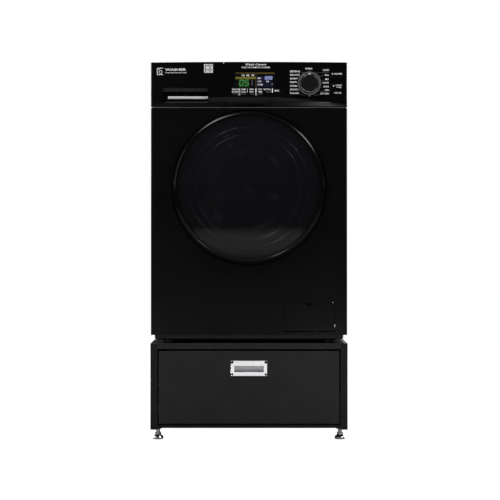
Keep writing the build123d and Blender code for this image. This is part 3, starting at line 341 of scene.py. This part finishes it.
# words under the display
row1, row2, row3 = pz(89.9), pz(92.4), pz(94.5)
for x0, x1, a, b_, c in ((232.0, 239.3, "DELAY", "START", "on / off"), (241.0, 245.9, "TEMP", "COOL", "hold"),
                          (249.4, 253.6, "SPIN", "FAST", "hold"), (258.0, 262.1, "DRY", "TIME", "hold")):
    w = (x1 - x0) * 0.003026
    text(a, px(x0), row1, 0.0046, width=w)
    text(b_, px(x0), row2, 0.0046, width=w)
    text(c, px(x0 + 0.8), row3, 0.0026, width=w * 0.8, mat="print_dim", group="panel_print_small")
text("EXTRA", px(263.6), row1, 0.0044, width=0.021)
text("RINSE", px(266.0), row2, 0.0040, width=0.014, mat="print_dim", group="panel_print_small")
text("MODE", px(274.6), pz(91.2), 0.0052, width=0.0135)
bm = bmesh.new()
for xc, w in ((255.9, 0.0030), (272.3, 0.0030), (239.8, 0.0016), (247.4, 0.0010)):
    x = px(xc)
    y0 = fascia_y(x)
    bm_box(bm, x - w / 2, x + w / 2, y0 - 0.00035, y0 - 0.00005, pz(93.2), pz(89.1))
for xc in (239.3, 256.0):
    x = px(xc)
    y0 = fascia_y(x)
    bm_ring(bm, x, pz(94.8), y0 - 0.00035, y0 - 0.00005, 0.0022, 0.0030, 20)
make("panel_bars", bm, "print", "cabinet")

# ------------------------------------------------------------------ display graphics, on the lens
LY = -0.2550


def panel(name, x0, x1, y0, y1, mat, d=0.00025, lift=0.0):
    """Flat lit field, given in picture units of the panel."""
    bm = bmesh.new()
    bm_box(bm, px(x0), px(x1), LY - d - lift, LY - 0.00005 - lift, pz(y1), pz(y0))
    return make(name, bm, mat, "cabinet")


panel("display_line_left", 235.6, 255.7, 73.1, 74.2, "amber")
panel("display_band_left", 235.6, 255.5, 77.4, 79.6, "olive")
panel("display_line_right", 256.6, 274.4, 73.0, 74.5, "amber")
panel("display_divider", 255.6, 256.2, 73.4, 88.2, "amber")
panel("display_glow_green", 238.6, 249.4, 80.0, 88.0, "green_glow")
panel("display_field_blue", 256.8, 272.6, 76.6, 87.6, "navy")
for i, (x0, x1) in enumerate(((241.6, 244.6), (246.3, 249.3), (251.6, 254.0))):
    text(("WASH", "RINSE", "SPIN")[i], px(x0), pz(75.9), 0.0058, width=(x1 - x0) * 0.003026, group="display_words", y=LY)
for i, (x0, x1, y) in enumerate(((257.3, 260.8, 78.8), (257.6, 261.4, 81.8), (257.4, 262.3, 85.1))):
    text(("KEEP", "LOCK", "STEAM")[i], px(x0), pz(y), 0.0044, width=(x1 - x0) * 0.003026, group="display_words", y=LY - 0.0002)
text("AIR", px(266.0), pz(82.0), 0.0048, width=0.0095, group="display_words", y=LY - 0.0002)

SEG = {"0": "abcdef", "5": "afgcd", "1": "bc", "8": "abcdefg", "2": "abged", "3": "abgcd"}


def digit(bm, ch, x, z, w, h, t, slant=0.12):
    """Seven-segment figure with its lower left corner at x, z."""
    def seg(ax, az, bx, bz):
        ax, bx = ax + slant * az, bx + slant * bz
        d = Vector((bx - ax, 0, bz - az)).normalized()
        n = Vector((-d.z, 0, d.x)) * (t / 2)
        pts = [Vector((ax, 0, az)), Vector((ax, 0, az)) + d * t * 0.5 + n, Vector((bx, 0, bz)) - d * t * 0.5 + n, Vector((bx, 0, bz)),
               Vector((bx, 0, bz)) - d * t * 0.5 - n, Vector((ax, 0, az)) + d * t * 0.5 - n]
        f = [bm.verts.new((x + p.x, LY - 0.0006, z + p.z)) for p in pts]
        g = [bm.verts.new((x + p.x, LY - 0.0003, z + p.z)) for p in pts]
        bm.faces.new(f)
        bm.faces.new(g[::-1])
        for i in range(6):
            j = (i + 1) % 6
            bm.faces.new((f[i], f[j], g[j], g[i]))
    e = t * 0.12
    S = {"a": (e, h, w - e, h), "b": (w, h / 2 + e, w, h - e), "c": (w, e, w, h / 2 - e), "d": (e, 0, w - e, 0),
         "e": (0, e, 0, h / 2 - e), "f": (0, h / 2 + e, 0, h - e), "g": (e, h / 2, w - e, h / 2)}
    for k in SEG[ch]:
        seg(*S[k])


bm = bmesh.new()
digit(bm, "0", px(239.5), pz(86.0), 0.0100, 0.0165, 0.0019)
digit(bm, "5", px(244.7), pz(86.0), 0.0100, 0.0165, 0.0019)
make("display_digits", bm, "green", "cabinet")
bm = bmesh.new()
digit(bm, "1", px(250.5), pz(86.0), 0.0036, 0.0165, 0.0018)
make("display_digit_dim", bm, "print_dim", "cabinet")
bm = bmesh.new()
for ch, xx in (("8", 265.0), ("8", 267.6), ("8", 270.2)):
    digit(bm, ch, px(xx), pz(80.0), 0.0050, 0.0090, 0.0016)
make("display_digits_small", bm, "lavender", "cabinet")
bm = bmesh.new()
bm_ring(bm, px(272.1), pz(84.8), LY - 0.0005, LY - 0.0002, 0.0001, 0.0026, 20)
make("display_dot", bm, "print_dim", "cabinet")

# ------------------------------------------------------------------ dial surroundings
text("NORMAL", px(308.7), pz(69.0), 0.0052, width=0.0215, align="CENTER")
LEFT = [(71.9, "BEDDING", 9.8), (75.4, "DELICATE", 9.6), (79.0, "BABY", 7.6), (82.6, "SHIRTS", 7.0), (86.4, "STEAM", 7.0), (90.0, "SPORTS", 8.4), (93.6, "RINSE", 8.6)]
RIGHT = [(70.4, "TOWELS", 6.2), (75.5, "WOOL", 4.2), (79.5, "MIX", 3.6), (83.0, "HEAVY", 6.4), (86.8, "QUICK", 5.6), (90.4, "SPIN", 4.0), (93.8, "DRY ONLY", 8.6)]
for y, s, w in LEFT:
    text(s, px(289.8), pz(y), 0.0050, width=w * 0.003026)
for y, s, w in RIGHT:
    text(s, px(328.8 - w), pz(y), 0.0050, width=w * 0.003026)
bm = bmesh.new()


def leader(points, w=0.00055):
    for (xa, ya), (xb, yb) in zip(points, points[1:]):
        a, b2 = Vector((px(xa), 0, pz(ya))), Vector((px(xb), 0, pz(yb)))
        d = (b2 - a).normalized()
        n = Vector((-d.z, 0, d.x)) * w / 2
        q = [a + n, b2 + n, b2 - n, a - n]
        lo = [bm.verts.new((p.x, fascia_y(p.x) - 0.00032, p.z)) for p in q]
        hi = [bm.verts.new((p.x, fascia_y(p.x) - 0.00005, p.z)) for p in q]
        bm.faces.new(lo)
        bm.faces.new(hi[::-1])
        for i in range(4):
            j = (i + 1) % 4
            bm.faces.new((lo[i], lo[j], hi[j], hi[i]))


leader([(299.8, 72.3), (304.6, 73.2)])
leader([(309.0, 70.6), (309.0, 72.0)])
leader([(313.8, 73.4), (328.6, 72.8)])
leader([(317.6, 76.6), (324.2, 76.0)])
leader([(320.0, 80.6), (325.0, 80.3)])
leader([(320.6, 87.8), (323.2, 87.4)])
leader([(319.0, 91.6), (324.6, 91.2)])
leader([(314.0, 95.4), (320.2, 94.9)])
leader([(298.6, 90.6), (300.4, 91.4)])
leader([(298.8, 94.2), (304.4, 95.6)])
make("dial_leaders", bm, "print_dim", "cabinet")

# dial: bright inner ring, pointer, grip ribs and the mark under the ring
bm = bmesh.new()
bm_lathe_pts = [(0.0259, -0.2622), (0.0266, -0.2638), (0.0274, -0.2622), (0.0274, -0.2600), (0.0259, -0.2600)]
rings = []
seg = 128
for r, y in bm_lathe_pts:
    rings.append([bm.verts.new((KX + r * math.cos(2 * math.pi * i / seg), y, KZ + r * math.sin(2 * math.pi * i / seg))) for i in range(seg)])
for k in range(5):
    A, B = rings[k], rings[(k + 1) % 5]
    for i in range(seg):
        j = (i + 1) % seg
        bm.faces.new((A[i], A[j], B[j], B[i]))
make("dial_inner_ring", bm, "satin", "dial", smooth=40)
bm = bmesh.new()
pts = [(-0.0030, 0.0285), (0.0030, 0.0285), (0.0032, 0.0262), (0.0, 0.0228), (-0.0032, 0.0262)]
lo = [bm.verts.new((KX + x, -0.2646, KZ + z)) for x, z in pts]
hi = [bm.verts.new((KX + x, -0.2612, KZ + z)) for x, z in pts]
bm.faces.new(lo)
bm.faces.new(hi[::-1])
for i in range(5):
    j = (i + 1) % 5
    bm.faces.new((lo[i], lo[j], hi[j], hi[i]))
make("dial_pointer", bm, "print", "dial")
bm = bmesh.new()
for i in range(72):
    a = 2 * math.pi * i / 72
    c, s_ = math.cos(a), math.sin(a)
    bm_rod(bm, (KX + 0.02345 * c, -0.2630, KZ + 0.02345 * s_), (KX + 0.02345 * c, -0.2745, KZ + 0.02345 * s_), 0.00055, 6)
make("dial_grip_ribs", bm, "gloss_cap", "dial", smooth=40)
bm = bmesh.new()
mx, mz = px(309.3), pz(95.7)
bm_ring(bm, mx, mz, fascia_y(mx) - 0.0006, fascia_y(mx) - 0.0001, 0.0001, 0.0034, 24)
make("dial_lower_mark", bm, "print_dim", "cabinet")

# key outlines and words beside them
bm = bmesh.new()
for zc in (1.104, 1.069):
    for (x0, x1, z0, z1) in ((0.2475, 0.2825, zc - 0.0074, zc - 0.0068), (0.2819, 0.2825, zc - 0.0068, zc + 0.0068),
                             (0.2475, 0.2825, zc + 0.0068, zc + 0.0074), (0.2475, 0.2481, zc - 0.0068, zc + 0.0068)):
        xm = (x0 + x1) / 2
        n = 6
        for k in range(n):
            xa, xb = x0 + (x1 - x0) * k / n, x0 + (x1 - x0) * (k + 1) / n
            y0 = fascia_y((xa + xb) / 2)
            bm_box(bm, xa, xb, y0 - 0.0003, y0 - 0.00002, z0, z1)
make("key_outlines", bm, "lip", "cabinet")
text("POWER", px(334.4), pz(74.2), 0.0050, width=0.0225, group="power_key_print", body="power_key", y=-0.2504)
text("START", px(335.4), pz(85.6), 0.0040, width=0.0185, group="start_key_print", body="start_key", y=-0.2504)
text("PAUSE", px(336.4), pz(87.5), 0.0034, width=0.0140, group="start_key_print", body="start_key", y=-0.2504)
text("CHILD LOCK", px(334.2), pz(93.0), 0.0044, width=0.0215)
bm = bmesh.new()
bm_ring(bm, px(332.4), pz(74.2), -0.2508, -0.2505, 0.0016, 0.0024, 24, math.radians(130), math.radians(410))
bm_box(bm, px(332.4) - 0.0004, px(332.4) + 0.0004, -0.2508, -0.2505, pz(74.2) + 0.0002, pz(74.2) + 0.0030)
make("power_key_symbol", bm, "print", "power_key")
bm = bmesh.new()
a = [(-0.0022, -0.0024), (0.0026, 0.0), (-0.0022, 0.0024)]
lo = [bm.verts.new((px(333.6) + x, -0.2508, pz(86.3) + z)) for x, z in a]
hi = [bm.verts.new((px(333.6) + x, -0.2505, pz(86.3) + z)) for x, z in a]
bm.faces.new(lo)
bm.faces.new(hi[::-1])
for i in range(3):
    j = (i + 1) % 3
    bm.faces.new((lo[i], lo[j], hi[j], hi[i]))
make("start_key_symbol", bm, "print", "start_key")
flush_text()

# ------------------------------------------------------------------ drum, perforated and embossed
def perforated_drum():
    R, y0, y1 = 0.2392, -0.1765, 0.1285
    cols, rows = 84, 15
    dy = (y1 - y0) / rows
    bm = bmesh.new()
    K = 8
    grid = {}

    def P(u, v, lift=0.0):
        """u in columns, v in rows."""
        a = 2 * math.pi * u / cols
        # shallow cushions pressed between the holes
        pr = 0.0016 * math.cos(math.pi * 2 * u / 3.0) * math.cos(math.pi * 2 * v / 3.0)
        edge = min(1.0, min(v, rows - v) / 1.0)
        r = R - 0.0012 - pr * edge * 0.6 + lift
        return (r * math.cos(a), y0 + v * dy, DOOR_Z + r * math.sin(a))

    def vert(u, v):
        key = (round(u * 4) % (cols * 4), round(v * 4))
        if key not in grid:
            grid[key] = bm.verts.new(P(u, v))
        return grid[key]

    hole_u = 0.0017 / (2 * math.pi * R / cols)
    hole_v = 0.0017 / dy
    for c in range(cols):
        for r in range(rows):
            holed = 1 <= r < rows - 1 and (c + r) % 2 == 0
            corners = [(c, r), (c + 0.5, r), (c + 1, r), (c + 1, r + 0.5), (c + 1, r + 1), (c + 0.5, r + 1), (c, r + 1), (c, r + 0.5)]
            outer = [vert(u, v) for u, v in corners]
            if not holed:
                m = bm.verts.new(P(c + 0.5, r + 0.5))
                for i in range(0, 8):
                    bm.faces.new((outer[i], outer[(i + 1) % 8], m))
                continue
            inner = []
            for i in range(8):
                ang = math.radians(225 + 45 * i)
                inner.append(bm.verts.new(P(c + 0.5 + hole_u * math.cos(ang), r + 0.5 + hole_v * math.sin(ang), 0.0005)))
            for i in range(8):
                j = (i + 1) % 8
                bm.faces.new((outer[i], outer[j], inner[j], inner[i]))
    wall = make("drum_wall", bm, "steel_drum", None, smooth=50)
    sol = wall.modifiers.new("t", "SOLIDIFY")
    sol.thickness = 0.0009
    sol.offset = 1
    bpy.context.view_layer.update()
    me = bpy.data.meshes.new_from_object(wall.evaluated_get(bpy.context.evaluated_depsgraph_get()))
    wall.modifiers.clear()
    wall.data = me
    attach(wall, "drum_unit")
    # ends: rolled front ring with mouth, and the dished back with pressed ribs and holes
    bm = bmesh.new()
    prof = [(0.1520, -0.1840), (0.1533, -0.1840), (0.1545, -0.1812), (0.1590, -0.1796), (0.2150, -0.1796), (0.2340, -0.1790), (0.2384, -0.1775), (0.2398, -0.1745),
            (0.2398, -0.1700), (0.2388, -0.1700), (0.2384, -0.1740), (0.2360, -0.1772), (0.2150, -0.1780), (0.1590, -0.1780), (0.1545, -0.1782), (0.1520, -0.1800)]
    bm_lathe(bm, prof, DOOR_Z, 144)
    front = make("drum_front_ring", bm, "steel_drum", "drum_unit", smooth=35)
    bm = bmesh.new()
    seg, rad = 144, 26
    rows_ = []
    for k in range(rad + 1):
        r = 0.010 + (0.2386 - 0.010) * k / rad
        ring = []
        for i in range(seg):
            a = 2 * math.pi * i / seg
            y = 0.1284
            if 0.05 < r < 0.215:
                w = math.sin(math.pi * (r - 0.05) / 0.165)
                y -= 0.0050 * w * max(0.0, math.cos(6 * a)) ** 2
            if r < 0.05:
                y -= 0.0035 * (1 - r / 0.05)
            ring.append(bm.verts.new((r * math.cos(a), y, DOOR_Z + r * math.sin(a))))
        rows_.append(ring)
    for k in range(rad):
        for i in range(seg):
            j = (i + 1) % seg
            a = 2 * math.pi * (i + 0.5) / seg
            r = 0.010 + (0.2386 - 0.010) * (k + 0.5) / rad
            if k in (9, 13, 17, 21) and i % 12 in (5, 6) and abs(math.cos(3 * a)) < 0.75:
                continue
            bm.faces.new((rows_[k][i], rows_[k][j], rows_[k + 1][j], rows_[k + 1][i]))
    bm.faces.new(rows_[0])
    back = make("drum_back_disc", bm, "steel_drum", None, smooth=50)
    sol = back.modifiers.new("t", "SOLIDIFY")
    sol.thickness = 0.0012
    sol.offset = 0
    bpy.context.view_layer.update()
    me = bpy.data.meshes.new_from_object(back.evaluated_get(bpy.context.evaluated_depsgraph_get()))
    back.modifiers.clear()
    back.data = me
    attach(back, "drum_unit")
    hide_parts("drum")
    # seam weld
    bm = bmesh.new()
    bm_box(bm, 0.2355, 0.2375, -0.170, 0.122, DOOR_Z - 0.0015, DOOR_Z + 0.0015)
    seam = make("drum_seam", bm, "steel_drum", "drum_unit")


perforated_drum()


def lifters():
    """Three hollow paddles with rounded crests, ribs and rows of black discs painted as the shade of drain holes."""
    for k in range(3):
        th = math.radians(90 + 120 * k)
        bm = bmesh.new()
        ny, nu = 40, 16
        rows_ = []
        for iy in range(ny + 1):
            v = iy / ny
            y = -0.150 + 0.262 * v
            end = min(1.0, min(v, 1 - v) / 0.10)
            end = math.sqrt(max(0.0, 1 - (1 - end) ** 2))
            ring = []
            for iu in range(nu + 1):
                u = -1 + 2 * iu / nu
                h = 0.046 * (0.25 + 0.75 * end) * max(0.0, 1 - abs(u) ** 2.2) ** 0.75
                h += 0.0010 * math.cos(2 * math.pi * v * 9) * (1 - u * u) * end
                x = u * 0.031
                rr = math.sqrt(max(0.0, 0.2368 ** 2 - x * x)) - h
                ring.append(bm.verts.new((rr * math.cos(th) - x * math.sin(th), y, DOOR_Z + rr * math.sin(th) + x * math.cos(th))))
            rows_.append(ring)
        for iy in range(ny):
            for iu in range(nu):
                bm.faces.new((rows_[iy][iu], rows_[iy][iu + 1], rows_[iy + 1][iu + 1], rows_[iy + 1][iu]))
        for end_ring in (rows_[0], rows_[-1]):
            bm.faces.new(end_ring)
        lo = [rows_[i][0] for i in range(ny + 1)] + [rows_[i][nu] for i in range(ny, -1, -1)]
        bm.faces.new(lo)
        o = make(f"drum_paddle_{k + 1}", bm, "tray", "drum_unit", smooth=40)
        if k == 0:
            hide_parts("drum_lifters")
        # black discs on the paddle sides: painted shade standing for drain holes, no holes are cut
        bm = bmesh.new()
        for j in range(9):
            for s in (-1, 1):
                x = s * 0.0155
                h = 0.046 * max(0.0, 1 - 0.5 ** 2.2) ** 0.75 + 0.0006
                rr = math.sqrt(0.2368 ** 2 - x * x) - h
                p = Vector((rr * math.cos(th) - x * math.sin(th), -0.125 + 0.0262 * j, DOOR_Z + rr * math.sin(th) + x * math.cos(th)))
                n = Vector((-math.cos(th), 0, -math.sin(th)))
                bm_rod(bm, p - n * 0.001, p + n * 0.0002, 0.0028, 12)
        make(f"drum_paddle_painted_hole_shade_{k + 1}", bm, "matte", "drum_unit", smooth=40)


lifters()

# ------------------------------------------------------------------ suspension springs with hooked ends
def spring(name, sx):
    cu = bpy.data.curves.new(name, "CURVE")
    cu.dimensions = "3D"
    cu.bevel_depth = 0.0017
    cu.bevel_resolution = 3
    pts = []
    zb, zt, r, turns = 0.950, 1.066, 0.011, 15
    hx = sx
    # lower hook through the tub ear
    for i in range(10):
        a = math.radians(-150 + 30 * i)
        pts.append((hx + 0.0001, 0.010 + 0.0075 * math.cos(a), 0.9300 + 0.0075 * math.sin(a) + 0.004))
    pts.append((hx, 0.010, 0.9455))
    n = turns * 16
    for i in range(n + 1):
        a = 2 * math.pi * turns * i / n
        k = min(1.0, min(i, n - i) / 10)
        pts.append((hx + r * k * math.cos(a), 0.010 + r * k * math.sin(a), zb + (zt - zb) * i / n))
    pts.append((hx, 0.010, 1.0705))
    for i in range(10):
        a = math.radians(-120 + 30 * i)
        pts.append((hx - 0.0001, 0.010 + 0.0075 * math.cos(a), 1.0835 + 0.0075 * math.sin(a)))
    sp = cu.splines.new("POLY")
    sp.points.add(len(pts) - 1)
    for p, q in zip(sp.points, pts):
        p.co = (*q, 1)
    o = bpy.data.objects.new(name, cu)
    scene.collection.objects.link(o)
    bpy.context.view_layer.update()
    me = bpy.data.meshes.new_from_object(o.evaluated_get(bpy.context.evaluated_depsgraph_get()))
    bpy.data.objects.remove(o)
    m = bpy.data.objects.new(name, me)
    scene.collection.objects.link(m)
    me.materials.clear()
    me.materials.append(M["zinc"])
    me.shade_smooth()
    return m


s1 = spring("suspension_spring_left", -0.228)
s2 = spring("suspension_spring_right", 0.228)
for s in (s1, s2):
    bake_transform(s)
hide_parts("suspension_springs")

# ------------------------------------------------------------------ door gasket with folds, and hoses
bm = bmesh.new()
prof = [(0.1767, -0.2386), (0.1767, -0.2300), (0.1775, -0.2262), (0.1798, -0.2232), (0.1798, -0.2200), (0.1790, -0.2165), (0.1745, -0.2130), (0.1700, -0.2092), (0.1679, -0.2062), (0.1679, -0.1965),
        (0.1648, -0.1965), (0.1648, -0.2070), (0.1662, -0.2102), (0.1705, -0.2142), (0.1745, -0.2170), (0.1764, -0.2190), (0.1764, -0.2215), (0.1745, -0.2245), (0.1715, -0.2262), (0.1680, -0.2255),
        (0.1620, -0.2208), (0.1562, -0.2160), (0.1550, -0.2160), (0.1546, -0.2174), (0.1600, -0.2232), (0.1650, -0.2286), (0.1676, -0.2330), (0.1690, -0.2380)]
bm_lathe(bm, prof, DOOR_Z, 160)
g = make("door_gasket_folds", bm, "gasket", None, smooth=60)
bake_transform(g)
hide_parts("door_gasket")


def tube(name, pts, r_of, seg, mat):
    """Tube through points, with its radius a function of the share of the length."""
    bm = bmesh.new()
    rings = []
    n = len(pts)
    for i, p in enumerate(pts):
        t = (Vector(pts[min(i + 1, n - 1)]) - Vector(pts[max(i - 1, 0)])).normalized()
        ref = Vector((0, 1, 0)) if abs(t.y) < 0.9 else Vector((1, 0, 0))
        u = t.cross(ref).normalized()
        w = t.cross(u).normalized()
        r = r_of(i / (n - 1))
        rings.append([bm.verts.new(Vector(p) + u * r * math.cos(2 * math.pi * k / seg) + w * r * math.sin(2 * math.pi * k / seg)) for k in range(seg)])
    for i in range(n - 1):
        for k in range(seg):
            j = (k + 1) % seg
            bm.faces.new((rings[i][k], rings[i][j], rings[i + 1][j], rings[i + 1][k]))
    bm.faces.new(rings[0][::-1])
    bm.faces.new(rings[-1])
    return make(name, bm, mat, None, smooth=60)


def bez(a, b, c, d, n):
    out = []
    for i in range(n + 1):
        t = i / n
        out.append(tuple((1 - t) ** 3 * a[k] + 3 * (1 - t) ** 2 * t * b[k] + 3 * (1 - t) * t * t * c[k] + t ** 3 * d[k] for k in range(3)))
    return out


sump = tube("sump_hose", bez((0.090, -0.120, 0.492), (0.090, -0.120, 0.452), (0.184, -0.185, 0.465), (0.184, -0.185, 0.424), 96),
            lambda t: 0.0155 + (0.0022 * (0.5 + 0.5 * math.cos(2 * math.pi * 15 * t)) if 0.1 < t < 0.9 else 0.0015), 28, "rubber")
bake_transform(sump)
bel = tube("dispenser_bellows", [(-0.180, -0.060, 0.9765 + 0.058 * i / 80) for i in range(81)],
           lambda t: 0.0165 + (0.0042 * (0.5 + 0.5 * math.cos(2 * math.pi * 6 * t)) if 0.08 < t < 0.92 else 0.0), 32, "rubber")
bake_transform(bel)
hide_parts("tub_hoses")

# ------------------------------------------------------------------ door: stepped inner liner and beads behind the smoked cover
bm = bmesh.new()
bm_lathe(bm, [(0.1685, -0.2647), (0.1755, -0.2662), (0.1785, -0.2678), (0.1835, -0.2678), (0.1880, -0.2666), (0.2035, -0.2692), (0.2045, -0.2692), (0.2045, -0.2667),
              (0.1685, -0.2643)], DOOR_Z, 160)
make("door_inner_liner", bm, "liner", "door", smooth=30)


def bead(bm, R, y, r, seg=160, sub=12):
    bm_lathe(bm, [(R + r * math.cos(2 * math.pi * k / sub), y + r * math.sin(2 * math.pi * k / sub)) for k in range(sub)], DOOR_Z, seg)


bm = bmesh.new()
bead(bm, 0.1810, -0.2680, 0.0022)
bead(bm, 0.1585, -0.2640, 0.0024)
bead(bm, 0.1520, -0.2540, 0.0012)
bead(bm, 0.1205, -0.1680, 0.0034)
bead(bm, 0.1290, -0.1800, 0.0014)
make("door_step_beads", bm, "step", "door", smooth=60)

# drawer pocket: a lighter grey band painted as the highlight where the pocket's upper lip catches light, and the fine
# line under the scoop
bm = bmesh.new()
n = 24
lo, hi = [], []
for i in range(n + 1):
    x = -0.2615 + (0.2615 - 0.1245) * i / n
    lo.append([bm.verts.new((x, y, z)) for y, z in ((-0.2372, 1.0548), (-0.2384, 1.0655))])
for i in range(n):
    bm.faces.new((lo[i][0], lo[i + 1][0], lo[i + 1][1], lo[i][1]))
r_ = bmesh.ops.extrude_face_region(bm, geom=bm.faces[:])
bmesh.ops.translate(bm, vec=(0, 0.0006, 0), verts=[v for v in r_["geom"] if isinstance(v, bmesh.types.BMVert)])
make("pocket_lip_painted_highlight", bm, "lip", "detergent_drawer")
bm = bmesh.new()
for i in range(n):
    xa = px(165.4) + (px(208.0) - px(165.4)) * i / n
    xb = px(165.4) + (px(208.0) - px(165.4)) * (i + 1) / n
    y0 = fascia_y((xa + xb) / 2)
    bm_box(bm, xa, xb, y0 - 0.0004, y0 + 0.0004, 1.0196, 1.0222)
make("scoop_line", bm, "lip", "cabinet")

# ------------------------------------------------------------------ pull screws and small fixings
bm = bmesh.new()
for x in (-0.0508, 0.0508):
    for z, r in ((0.2353, 0.0042), (0.1987, 0.0037)):
        bm_rod(bm, (x, -0.2506, z), (x, -0.2519, z), r, 28, r * 0.86)
make("pull_screw_caps", bm, "screw", "storage_drawer", smooth=40)
# hollowed back of the pull's cup
bm = bmesh.new()
cols, rows = 12, 10
gr = []
for i in range(cols + 1):
    x = -0.0447 + 0.0894 * i / cols
    gr.append([])
    for k in range(rows + 1):
        v = k / rows
        gr[-1].append(bm.verts.new((x, -0.2352 - 0.0042 * (2 * v - 1) ** 2, 0.2030 + 0.0240 * v)))
for i in range(cols):
    for k in range(rows):
        bm.faces.new((gr[i][k], gr[i + 1][k], gr[i + 1][k + 1], gr[i][k + 1]))
r_ = bmesh.ops.extrude_face_region(bm, geom=bm.faces[:])
bmesh.ops.translate(bm, vec=(0, 0.0006, 0), verts=[v for v in r_["geom"] if isinstance(v, bmesh.types.BMVert)])
make("pull_cup_back", bm, "cup", "storage_drawer", smooth=40)

# ------------------------------------------------------------------ staging: floor, light, camera
w = bpy.data.worlds.new("studio")
scene.world = w
w.use_nodes = True
nt = w.node_tree
bg = nt.nodes["Background"]
bg.inputs["Color"].default_value = (1, 1, 1, 1)
bg.inputs["Strength"].default_value = 1.0
dark = nt.nodes.new("ShaderNodeBackground")
dark.inputs["Color"].default_value = (1, 1, 1, 1)
dark.inputs["Strength"].default_value = 0.030
lp = nt.nodes.new("ShaderNodeLightPath")
mx_ = nt.nodes.new("ShaderNodeMixShader")
nt.links.new(lp.outputs["Is Camera Ray"], mx_.inputs["Fac"])
nt.links.new(dark.outputs["Background"], mx_.inputs[1])
nt.links.new(bg.outputs["Background"], mx_.inputs[2])
nt.links.new(mx_.outputs["Shader"], nt.nodes["World Output"].inputs["Surface"])

bm = bmesh.new()
bmesh.ops.create_circle(bm, cap_ends=True, segments=96, radius=3.4)
fm = bpy.data.materials.new("floor_paper")
fm.use_nodes = True
fb = fm.node_tree.nodes["Principled BSDF"]
fb.inputs["Base Color"].default_value = (0.17, 0.17, 0.17, 1)
fb.inputs["Roughness"].default_value = 0.9
fb.inputs["Specular IOR Level"].default_value = 0.0
fb.inputs["Emission Color"].default_value = (1, 1, 1, 1)
flp = fm.node_tree.nodes.new("ShaderNodeLightPath")
fmr = fm.node_tree.nodes.new("ShaderNodeMapRange")
fmr.inputs["To Min"].default_value = 0.02
fmr.inputs["To Max"].default_value = 1.0
ftc = fm.node_tree.nodes.new("ShaderNodeTexCoord")
fsep = fm.node_tree.nodes.new("ShaderNodeSeparateXYZ")
fm.node_tree.links.new(ftc.outputs["Object"], fsep.inputs["Vector"])
fy = fm.node_tree.nodes.new("ShaderNodeMapRange")
fy.inputs["From Min"].default_value = -3.4
fy.inputs["From Max"].default_value = 0.0
fm.node_tree.links.new(fsep.outputs["Y"], fy.inputs["Value"])
frp = fm.node_tree.nodes.new("ShaderNodeValToRGB")
els = frp.color_ramp.elements
els[0].position, els[0].color = 0.0, (0.02, 0.02, 0.02, 1)
els[1].position, els[1].color = 0.72, (0.02, 0.02, 0.02, 1)
for pos, v in ((0.22, 0.82), (0.44, 0.82), (0.58, 0.08)):
    e_ = els.new(pos)
    e_.color = (v, v, v, 1)
fm.node_tree.links.new(fy.outputs["Result"], frp.inputs["Fac"])
fm.node_tree.links.new(frp.outputs["Color"], fmr.inputs["To Min"])
fm.node_tree.links.new(flp.outputs["Is Camera Ray"], fmr.inputs["Value"])
fm.node_tree.links.new(fmr.outputs["Result"], fb.inputs["Emission Strength"])
floor = make("floor", bm, fm, None)


def area(name, loc, aim, sx, sy, power, color=(1, 1, 1)):
    l = bpy.data.lights.new(name, "AREA")
    l.shape = "RECTANGLE"
    l.size, l.size_y = sx, sy
    l.energy = power
    l.color = color
    o = bpy.data.objects.new(name, l)
    scene.collection.objects.link(o)
    o.location = loc
    o.visible_camera = False
    o.rotation_euler = (Vector(aim) - Vector(loc)).to_track_quat("-Z", "Y").to_euler()
    return o


area("softbox_left", (-2.6, -1.7, 1.7), (0, -0.2, 0.75), 0.5, 1.4, 7)
area("softbox_right", (2.3, -1.5, 2.9), (0, -0.2, 0.75), 0.9, 0.9, 46)
area("softbox_top", (-1.1, -1.0, 3.1), (0, 0, 0.8), 1.3, 0.9, 42)
area("softbox_back", (0.4, 2.6, 2.1), (0, 0, 0.8), 2.0, 1.4, 75)
area("softbox_side_left", (-2.7, 1.1, 1.7), (-0.2, 0.1, 0.7), 1.0, 1.6, 70)
area("softbox_side_right", (2.7, 1.1, 1.7), (0.2, 0.1, 0.7), 1.0, 1.6, 70)
area("strip_low_left", (-0.66, -1.25, 0.06), (-0.12, -0.29, 0.64), 0.18, 0.07, 0.9)
area("strip_low_right", (0.36, -1.15, 0.045), (0.06, -0.29, 0.60), 0.16, 0.06, 0.6)
area("strip_tall_left", (-0.86, -3.40, 1.05), (-0.1, -0.29, 0.78), 0.42, 1.5, 0.10)

cam = bpy.data.cameras.new("camera")
cam.sensor_width = 36.0
cam.lens = 36.0 * 3.2 / 1.513
co = bpy.data.objects.new("camera", cam)
scene.collection.objects.link(co)
co.location = (0.003, -0.245 - 3.2, 0.5746)
co.rotation_euler = (math.pi / 2, 0, 0)
scene.camera = co
scene.view_settings.view_transform = "Standard"
